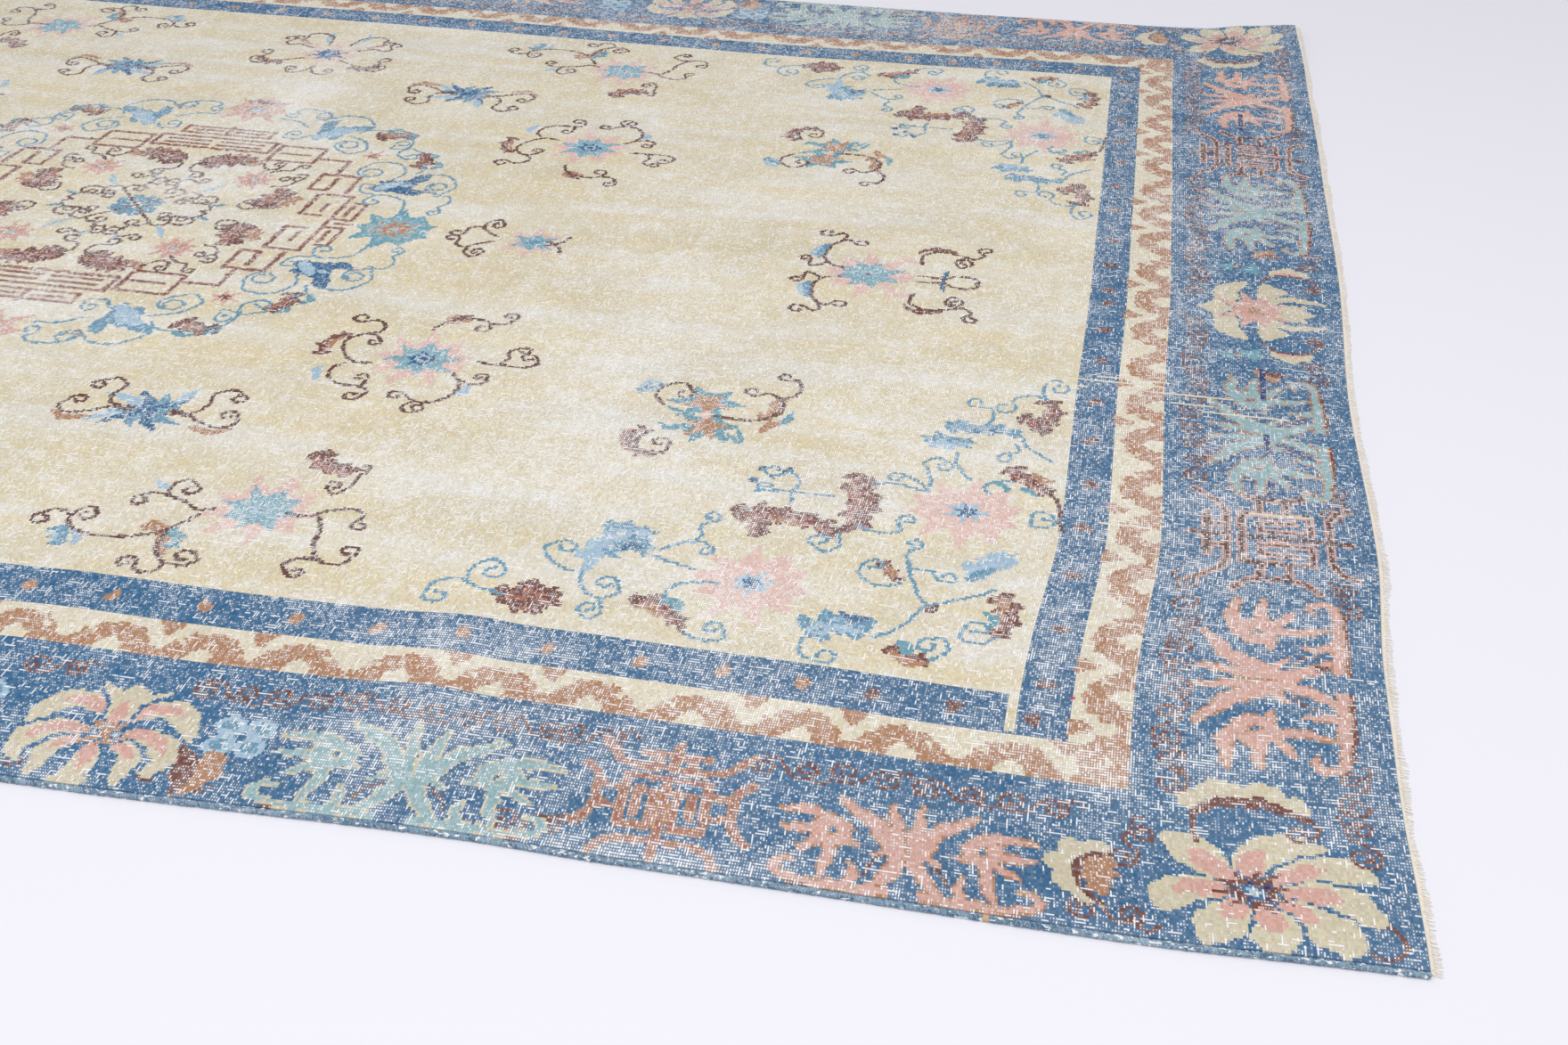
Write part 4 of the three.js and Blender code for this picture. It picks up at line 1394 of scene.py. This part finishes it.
def bare_strip(side, first, last, made):
    """The woven strip between two knots, as points, loops and counts. side is -1 left and 1 right."""
    knots = np.arange(first, last + 1)
    v = (knots - KNOTS) * KNOT_PITCH
    x, y = cloth_place(np.full(len(v), side * PILE_HALF_LENGTH), v)
    rise = lift(x, y)
    width = STRIP_WIDTH + 0.5 * wander(v, v * 0, 160, 71) + made.normal(0, 0.12, len(v))
    columns = []
    for reach, height in STRIP_SECTION:
        ridge = 0.12 * (-1) ** knots if 0.1 < reach < 1.0 else 0.0
        columns.append((x + side * reach * width, y, rise + height + ridge))
    points = metres(*(np.stack(places, axis=1) for places in zip(*columns)))
    size, last_ring = len(STRIP_SECTION), (len(v) - 1) * len(STRIP_SECTION)
    ring, corner = np.meshgrid(np.arange(len(v) - 1), np.arange(size), indexing="ij")
    here, beside = ring * size + corner, ring * size + (corner + 1) % size
    quads = np.stack([here, here + size, beside + size, beside], axis=-1)
    caps = [np.arange(size), last_ring + np.arange(size)[::-1]]
    if side < 0:
        quads, caps = quads[..., ::-1], [cap[::-1] for cap in caps]
    loops = np.concatenate([quads.ravel(), *caps])
    return points, loops, np.concatenate([np.full(quads.size // 4, 4), [size, size]])


def fringe_piece(name, side, first, last, material):
    """A stretch of one end's bare woven edge, with the cut ends of its warps."""
    made = np.random.default_rng(int(first) + (131 if side > 0 else 157))
    strip = bare_strip(side, first, last, made)
    number = WARPS_IN_KNOT * (last - first)
    knot = first + (np.arange(number) + 0.5) / WARPS_IN_KNOT + made.uniform(-0.05, 0.05, number)
    root_v = (knot - KNOTS) * KNOT_PITCH
    root_x, root_y = cloth_place(np.full(number, side * PILE_HALF_LENGTH), root_v)
    roots = np.stack([root_x + side * WARP_ROOT, root_y, lift(root_x, root_y)], axis=1)
    headings = (WARP_SLANT if side > 0 else np.pi - WARP_SLANT) + made.normal(0, 0.07, number)
    long_share = made.uniform(0.8, 1.0, number) * (0.85 + 0.2 * wander(root_v, root_v * 0, 120, 73))
    thickness = made.uniform(0.75, 1.15, number)
    bow = made.normal(0, 0.12, number)
    foot = made.uniform(0.3, 0.7, number)
    strands = strand_shapes(roots, headings, WARP_LENGTH * long_share, thickness, bow, foot)
    points, loops, counts = (np.concatenate(parts) for parts in zip(strip, strands))
    loops[len(strip[1]):] += len(strip[0])
    piece = mesh_object(name, points, loops, counts, material)
    loose = np.arange(len(points)) >= len(strip[0])
    put_values(piece, "loose", "FLOAT", "POINT", "value", loose)
    return piece


# The tones of old wool and cotton.
OLD_WOOL = screen(252, 246, 228)
CHALK = screen(229, 232, 234)  # worn wool and the seams between knots
COTTON = screen(250, 249, 248)
WOOLLY = 0.95  # the roughness of wool and cotton
MEND_PLACE = 1.160  # of the near side's mend, in metres along the rug


class Nodes:
    """Builds a material's nodes with short calls."""

    def __init__(self, name):
        self.material = bpy.data.materials.new(name)
        self.material.use_nodes = True
        self.tree = self.material.node_tree
        self.tree.nodes.clear()
        self.shader = self.make("ShaderNodeBsdfPrincipled")
        output = self.make("ShaderNodeOutputMaterial")
        self.tree.links.new(self.shader.outputs[0], output.inputs["Surface"])

    def make(self, kind, **settings):
        node = self.tree.nodes.new(kind)
        for name, value in settings.items():
            setattr(node, name, value)
        return node

    def put(self, socket, value):
        if isinstance(value, bpy.types.NodeSocket):
            self.tree.links.new(value, socket)
        else:
            socket.default_value = value

    def surface(self, colour, roughness=WOOLLY, sheen=0.0, specular=0.5):
        sockets = self.shader.inputs
        self.put(sockets["Base Color"], colour)
        self.put(sockets["Roughness"], roughness)
        self.put(sockets["Sheen Weight"], sheen)
        self.put(sockets["Specular IOR Level"], specular)

    def relief(self, height, depth, strength):
        node = self.make("ShaderNodeBump")
        self.put(node.inputs["Height"], height)
        self.put(node.inputs["Distance"], depth)
        self.put(node.inputs["Strength"], strength)
        self.put(self.shader.inputs["Normal"], node.outputs[0])

    def math(self, operation, *values):
        node = self.make("ShaderNodeMath", operation=operation)
        for socket, value in zip(node.inputs, values):
            self.put(socket, value)
        return node.outputs[0]

    def plus(self, first, second):
        return self.math("ADD", first, second)

    def minus(self, first, second):
        return self.math("SUBTRACT", first, second)

    def times(self, first, second):
        return self.math("MULTIPLY", first, second)

    def floor(self, value):
        return self.math("FLOOR", value)

    def larger(self, first, second):
        return self.math("MAXIMUM", first, second)

    def distance(self, first, second):
        return self.math("ABSOLUTE", self.minus(first, second))

    def spread(self, value, low, width):
        """A value from 0 to 1, as one from low to low + width."""
        return self.plus(low, self.times(value, width))

    def swing(self, value, width):
        """A value from 0 to 1, as one that is width across, with 0 in the middle."""
        return self.times(self.minus(value, 0.5), width)

    def range(self, value, low, high, to_low=0.0, to_high=1.0, kind="SMOOTHSTEP"):
        node = self.make("ShaderNodeMapRange", interpolation_type=kind)
        for socket, item in zip(node.inputs, (value, low, high, to_low, to_high)):
            self.put(socket, item)
        return node.outputs[0]

    def ramp(self, value, low, high, to_low, to_high):
        return self.range(value, low, high, to_low, to_high, "LINEAR")

    def attribute(self, name, output="Vector"):
        return self.make("ShaderNodeAttribute", attribute_name=name).outputs[output]

    def object_place(self):
        return self.make("ShaderNodeTexCoord").outputs["Object"]

    def split(self, vector):
        node = self.make("ShaderNodeSeparateXYZ")
        self.put(node.inputs[0], vector)
        return node.outputs

    def join(self, *values):
        node = self.make("ShaderNodeCombineXYZ")
        for socket, value in zip(node.inputs, values):
            self.put(socket, value)
        return node.outputs[0]

    def noise(self, vector, scale, detail=2.0, roughness=0.5):
        node = self.make("ShaderNodeTexNoise")
        self.put(node.inputs["Vector"], vector)
        self.put(node.inputs["Scale"], scale)
        self.put(node.inputs["Detail"], detail)
        self.put(node.inputs["Roughness"], roughness)
        return node.outputs["Fac"]

    def streaks(self, row, row_scale, knot, knot_scale, layer, detail=1.0, roughness=0.5):
        """Noise drawn out along the rows or across them. Each layer has another pattern."""
        place = self.join(self.times(row, row_scale), self.times(knot, knot_scale), layer)
        return self.noise(place, 1.0, detail, roughness)

    def random(self, *values):
        node = self.make("ShaderNodeTexWhiteNoise")
        self.put(node.inputs["Vector"], self.join(*values))
        return node.outputs["Value"]

    def mix(self, share, first, second, blend="MIX"):
        node = self.make("ShaderNodeMix", data_type="RGBA", blend_type=blend)
        self.put(node.inputs[0], share)
        self.put(node.inputs[6], first)
        self.put(node.inputs[7], second)
        return node.outputs[2]

    def brightness(self, colour, value, saturation=1.0):
        node = self.make("ShaderNodeHueSaturation")
        self.put(node.inputs["Saturation"], saturation)
        self.put(node.inputs["Value"], value)
        self.put(node.inputs["Color"], colour)
        return node.outputs[0]

    def in_square(self, number, half_length, softness):
        """1 within half_length of the middle of a knot's square and 0 outside it, one way of the weave."""
        past = self.minus(self.distance(self.math("FRACT", number), 0.5), half_length)
        return self.range(past, -softness, softness, 1.0, 0.0)

    def tuft(self, row, half_length, row_softness, knot, half_width, knot_softness):
        """1 in the middle part of each knot's square and 0 round it."""
        along = self.in_square(row, half_length, row_softness)
        return self.times(along, self.in_square(knot, half_width, knot_softness))


def cotton_showing(made, row, knot, amount):
    """Where the white cotton shows: a dash in each worn knot, and threads laid bare along and across."""
    dash_length = made.ramp(amount, 0.10, 1.00, 0.04, 0.50)
    dash_width = made.ramp(amount, 0.10, 1.00, 0.13, 0.36)
    dash = made.tuft(row, dash_length, 0.07, knot, dash_width, 0.09)
    dash = made.times(dash, made.range(amount, 0.12, 0.24))
    limit = made.ramp(amount, -0.1, 1.0, 0.675, 0.51)
    over = made.plus(limit, 0.02)
    warp = made.range(made.streaks(row, 0.15, made.floor(knot), 7.31, 3.0), limit, over)
    warp = made.times(warp, made.in_square(knot, 0.20, 0.10))
    weft = made.range(made.streaks(made.floor(row), 5.17, knot, 0.27, 9.0), limit, over)
    weft = made.times(weft, made.in_square(row, 0.24, 0.10))
    return made.larger(dash, made.larger(warp, weft))


def dyed_wool(made, row, knot, dye, softness, cell, streak):
    """The dye with the uneven tones of its lots, its knots and the whole rug."""
    shade = made.spread(made.random(*cell, 5.0), 0.88, 0.22)
    lot = made.streaks(row, 0.010, knot, 0.035, 1.0, 3.0)
    shade = made.times(shade, made.ramp(lot, 0.3, 0.7, 0.95, 1.05))
    cloud = made.noise(made.join(row, knot, 0.0), 0.02, 4.0, 0.65)
    shade = made.times(shade, made.ramp(cloud, 0.3, 0.7, 0.96, 1.04))
    golden = made.mix(1.0, dye, OLD_WOOL, "MULTIPLY")
    aged = made.times(has_softness(made, softness, UNDYED), made.range(streak, 0.62, 0.38))
    dye = made.mix(aged, dye, golden)
    richer = made.times(has_softness(made, softness, INDIGO), made.ramp(row, 1150.0, 650.0, 0.0, 0.15))
    dye = made.brightness(dye, 1.0, made.plus(1.0, richer))
    return made.brightness(dye, shade)


def has_softness(made, softness, wanted):
    """Whether a face has the dye with this softness."""
    return made.math("LESS_THAN", made.distance(softness, wanted), 0.004)


def pile_material():
    """Worn wool knots, with the white cotton warps and wefts showing through where the pile is thin."""
    made = Nodes("worn_pile")
    row, knot, level = made.split(made.attribute("weave"))
    softness = made.attribute("dye", "Alpha")
    place = made.join(row, knot, 0.0)
    swayed = made.plus(knot, made.swing(made.noise(place, 0.035, 1.0), 1.2))
    cell = made.floor(row), made.floor(swayed)
    chance = made.random(*cell, 0.0)
    patch = made.noise(place, 0.09, 4.0, 0.70)
    amount = made.plus(made.plus(level, made.swing(patch, 0.9)), made.swing(chance, 0.5))
    amount = made.plus(amount, made.minus(softness, 0.5))
    streak = made.streaks(row, 0.006, knot, 0.060, 7.0, 4.0, 0.6)
    wool = dyed_wool(made, row, knot, made.attribute("dye", "Color"), softness, cell, streak)
    chalky = made.ramp(amount, -0.15, 0.9, 0.0, 0.38)
    chalky = made.times(chalky, made.range(softness, 0.51, 0.55, 1.0, 0.45))
    pale = made.plus(made.range(streak, 0.50, 0.70, 0.0, 0.22), made.range(patch, 0.50, 0.72, 0.0, 0.30))
    chalky = made.plus(chalky, made.times(pale, has_softness(made, softness, UNDYED)))
    seam = made.minus(1.0, made.tuft(row, 0.36, 0.14, swayed, 0.38, 0.12))
    seam = made.times(seam, made.ramp(amount, -0.1, 0.7, 0.0, 0.30))
    faded = made.mix(made.larger(chalky, seam), wool, CHALK)
    cotton = made.brightness(made.join(*COTTON[:3]), made.spread(chance, 0.96, 0.06))
    cotton = made.mix(0.07, cotton, wool)
    bare = cotton_showing(made, row, swayed, amount)
    made.surface(made.mix(bare, faded, cotton), sheen=0.02, specular=0.12)
    height = made.plus(made.tuft(row, 0.30, 0.20, swayed, 0.33, 0.17), made.times(chance, 0.5))
    made.relief(height, 0.0009, 0.6)
    return made.material


def wool_material():
    """Blue wool overcast in slanting stitches, pale and hairy with age, with one mend on the near side."""
    made = Nodes("overcast_wool")
    x, y, z = made.split(made.object_place())
    along = made.plus(made.times(x, 520.0), made.times(y, 300.0))
    chance = made.random(made.floor(along), 0.0, 0.0)
    lot = made.noise(made.join(x, 0.0, 0.0), 9.0, 3.0)
    wool = made.mix(made.range(lot, 0.35, 0.65), screen(104, 134, 158), screen(142, 166, 183))
    patch = made.noise(made.join(made.times(x, 0.45), y, z), 260.0, 3.0, 0.7)
    wool = made.mix(made.times(made.range(patch, 0.50, 0.58), 0.75), wool, screen(62, 98, 130))
    wool = made.brightness(wool, made.spread(chance, 0.92, 0.14))
    thread = made.in_square(along, 0.26, 0.14)
    hair = made.noise(made.join(made.times(x, 3.0), y, z), 420.0, 3.0, 0.6)
    bright = made.times(made.times(thread, made.range(chance, 0.45, 0.75)), 0.25)
    pale = made.larger(made.times(made.range(hair, 0.55, 0.68), 0.7), bright)
    colour = made.mix(made.times(pale, 0.8), wool, screen(222, 228, 230))
    bare = made.noise(made.join(made.times(x, 0.6), y, z), 330.0)
    colour = made.mix(made.range(bare, 0.60, 0.64), colour, screen(236, 238, 238))
    mend = made.range(made.distance(x, MEND_PLACE), 0.0026, 0.0018)
    mend = made.times(mend, made.range(y, 0.0, -0.1))
    colour = made.mix(mend, colour, screen(206, 172, 134))
    made.surface(colour, sheen=0.2, specular=0.15)
    made.relief(made.plus(made.times(thread, 0.6), made.times(hair, 0.6)), 0.0006, 0.8)
    return made.material


def cotton_material():
    """Bare cotton, a little stained. The cut ends are painted paler than the strip, and the strip a darker
    tan: painted light that offsets the shade among the thin strands and the light on the strip's upward
    face.
    """
    made = Nodes("warp_cotton")
    place = made.object_place()
    tone = made.range(made.noise(place, 40.0, 3.0), 0.35, 0.65)
    # painted light: paler cream on the strands against their shade, and a darker tan on the strip against
    # the light on its top
    ends = made.mix(tone, screen(252, 242, 226), screen(255, 250, 240))
    colour = made.mix(made.attribute("loose", "Fac"), screen(235, 225, 210), ends)
    stain = made.range(made.noise(place, 300.0), 0.66, 0.78)
    colour = made.mix(made.times(stain, 0.16), colour, screen(206, 176, 150))
    made.surface(colour, specular=0.1)
    return made.material


def floor_material():
    made = Nodes("pale_floor")
    made.surface(screen(230, 229, 235), roughness=0.7)
    return made.material


# The camera stands where the photograph was taken. Its right, down and forward are in the row frame.
CAMERA_PLACE = (1.19428, -2.06006, 0.92097)
CAMERA_RIGHT = (0.98167, 0.18984, 0.01673)
CAMERA_DOWN = (0.11338, -0.51122, -0.85194)
CAMERA_FORWARD = (-0.15318, 0.83822, -0.52338)
SENSOR_WIDTH = 36.0
FOCAL_LENGTH = 43.872

# The studio, in metres and watts.
SKY_COLOUR = (0.97, 0.97, 1.0, 1)
SKY_STRENGTH = 0.73
LAMP_PLACE = (0.9, -1.6, 3.2)
LAMP_AIM = (0.0, 1.2, -3.2)
LAMP_SIZE = 4.0
LAMP_POWER = 72.0
FLOOR_SIZE = 60.0


def place_camera():
    lens = bpy.data.cameras.new("camera")
    lens.sensor_width = SENSOR_WIDTH
    lens.lens = FOCAL_LENGTH
    camera = bpy.data.objects.new("camera", lens)
    bpy.context.scene.collection.objects.link(camera)
    ways = zip(CAMERA_RIGHT, CAMERA_DOWN, CAMERA_FORWARD, CAMERA_PLACE)
    rows = [(right, -down, -forward, place) for right, down, forward, place in ways]
    camera.matrix_world = Matrix((*rows, (0, 0, 0, 1)))
    bpy.context.scene.camera = camera


def light_studio():
    scene = bpy.context.scene
    scene.view_settings.view_transform = "Standard"
    scene.world = bpy.data.worlds.new("studio")
    scene.world.use_nodes = True
    sky = scene.world.node_tree.nodes["Background"].inputs
    sky["Color"].default_value = SKY_COLOUR
    sky["Strength"].default_value = SKY_STRENGTH
    light = bpy.data.lights.new("soft_light", "AREA")
    light.shape = "SQUARE"
    light.size = LAMP_SIZE
    light.energy = LAMP_POWER
    lamp = bpy.data.objects.new("soft_light", light)
    lamp.location = LAMP_PLACE
    lamp.rotation_euler = Vector(LAMP_AIM).to_track_quat("-Z", "Y").to_euler()
    scene.collection.objects.link(lamp)


def lay_floor():
    bpy.ops.mesh.primitive_plane_add(size=FLOOR_SIZE, location=(0, 0, 0))
    floor = bpy.context.object
    floor.name = "floor"
    floor.data.materials.append(floor_material())


# Where the pile is parted into panels, counted in rows and in knots.
ROW_CUTS = (0, 280, 552, 832, 1104, 1384)
KNOT_CUTS = (0, 160, 312, 472, 632)
BACK_SQUARE = 4  # knots along the least squares on the rug's back
CORDS = 4  # pieces along each overcast side
FRINGES = 3  # pieces along each end


def pile_panels(dyes, pile):
    cells = merged_cells(dyes, (8, 4, 2, 1))
    used = corners_used(cells)
    top, foot = lattice_points(pile_height), lattice_points(PILE_FOOT)
    pieces = []
    for row_part, rows in enumerate(zip(ROW_CUTS[:-1], ROW_CUTS[1:])):
        for knot_part, knots in enumerate(zip(KNOT_CUTS[:-1], KNOT_CUTS[1:])):
            name = f"pile_{row_part + 1}{knot_part + 1}"
            made = closed_panel(name, (*rows, *knots), cells, used, top, foot, True, dyes, pile)
            pieces.append(made)
    return pieces


def foundation(dyes, pile):
    """The one whole sheet under the pile, with the design on its back in coarse squares."""
    every = BACK_SQUARE
    coarse = np.repeat(np.repeat(dyes[1::every, 1::every], every, 0), every, 1)
    cells = merged_cells(coarse, (2 * every, every))
    whole = (0, ALL_ROWS, 0, ALL_KNOTS)
    back, top = lattice_points(GROUND_FOOT), lattice_points(GROUND_TOP)
    ground = closed_panel("foundation", whole, cells, corners_used(cells), back, top, False, dyes, pile)
    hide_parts("rug_body")
    return ground


def selvedges():
    wool = wool_material()
    pieces = []
    for side, edge in ((-1, "near"), (1, "far")):
        for part in range(CORDS):
            first, last = part * WRAPS // CORDS, (part + 1) * WRAPS // CORDS
            made = cord_piece(f"selvedge_{edge}_{part + 1}", side, first, last, wool)
            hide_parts(f"selvedge_{edge}")
            pieces.append(made)
    return pieces


def fringes():
    cotton = cotton_material()
    pieces = []
    for side, end in ((-1, "left"), (1, "right")):
        for part in range(FRINGES):
            first, last = part * ALL_KNOTS // FRINGES, (part + 1) * ALL_KNOTS // FRINGES
            made = fringe_piece(f"fringe_{end}_{part + 1}", side, first, last, cotton)
            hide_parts(f"fringe_{end}")
            pieces.append(made)
    return pieces


def build():
    place_camera()
    light_studio()
    lay_floor()
    dyes, pile = whole_chart(), pile_material()
    pieces = pile_panels(dyes, pile)
    ground = foundation(dyes, pile)
    pieces += selvedges() + fringes()
    for made in (ground, *pieces):
        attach(made, "root")


build()
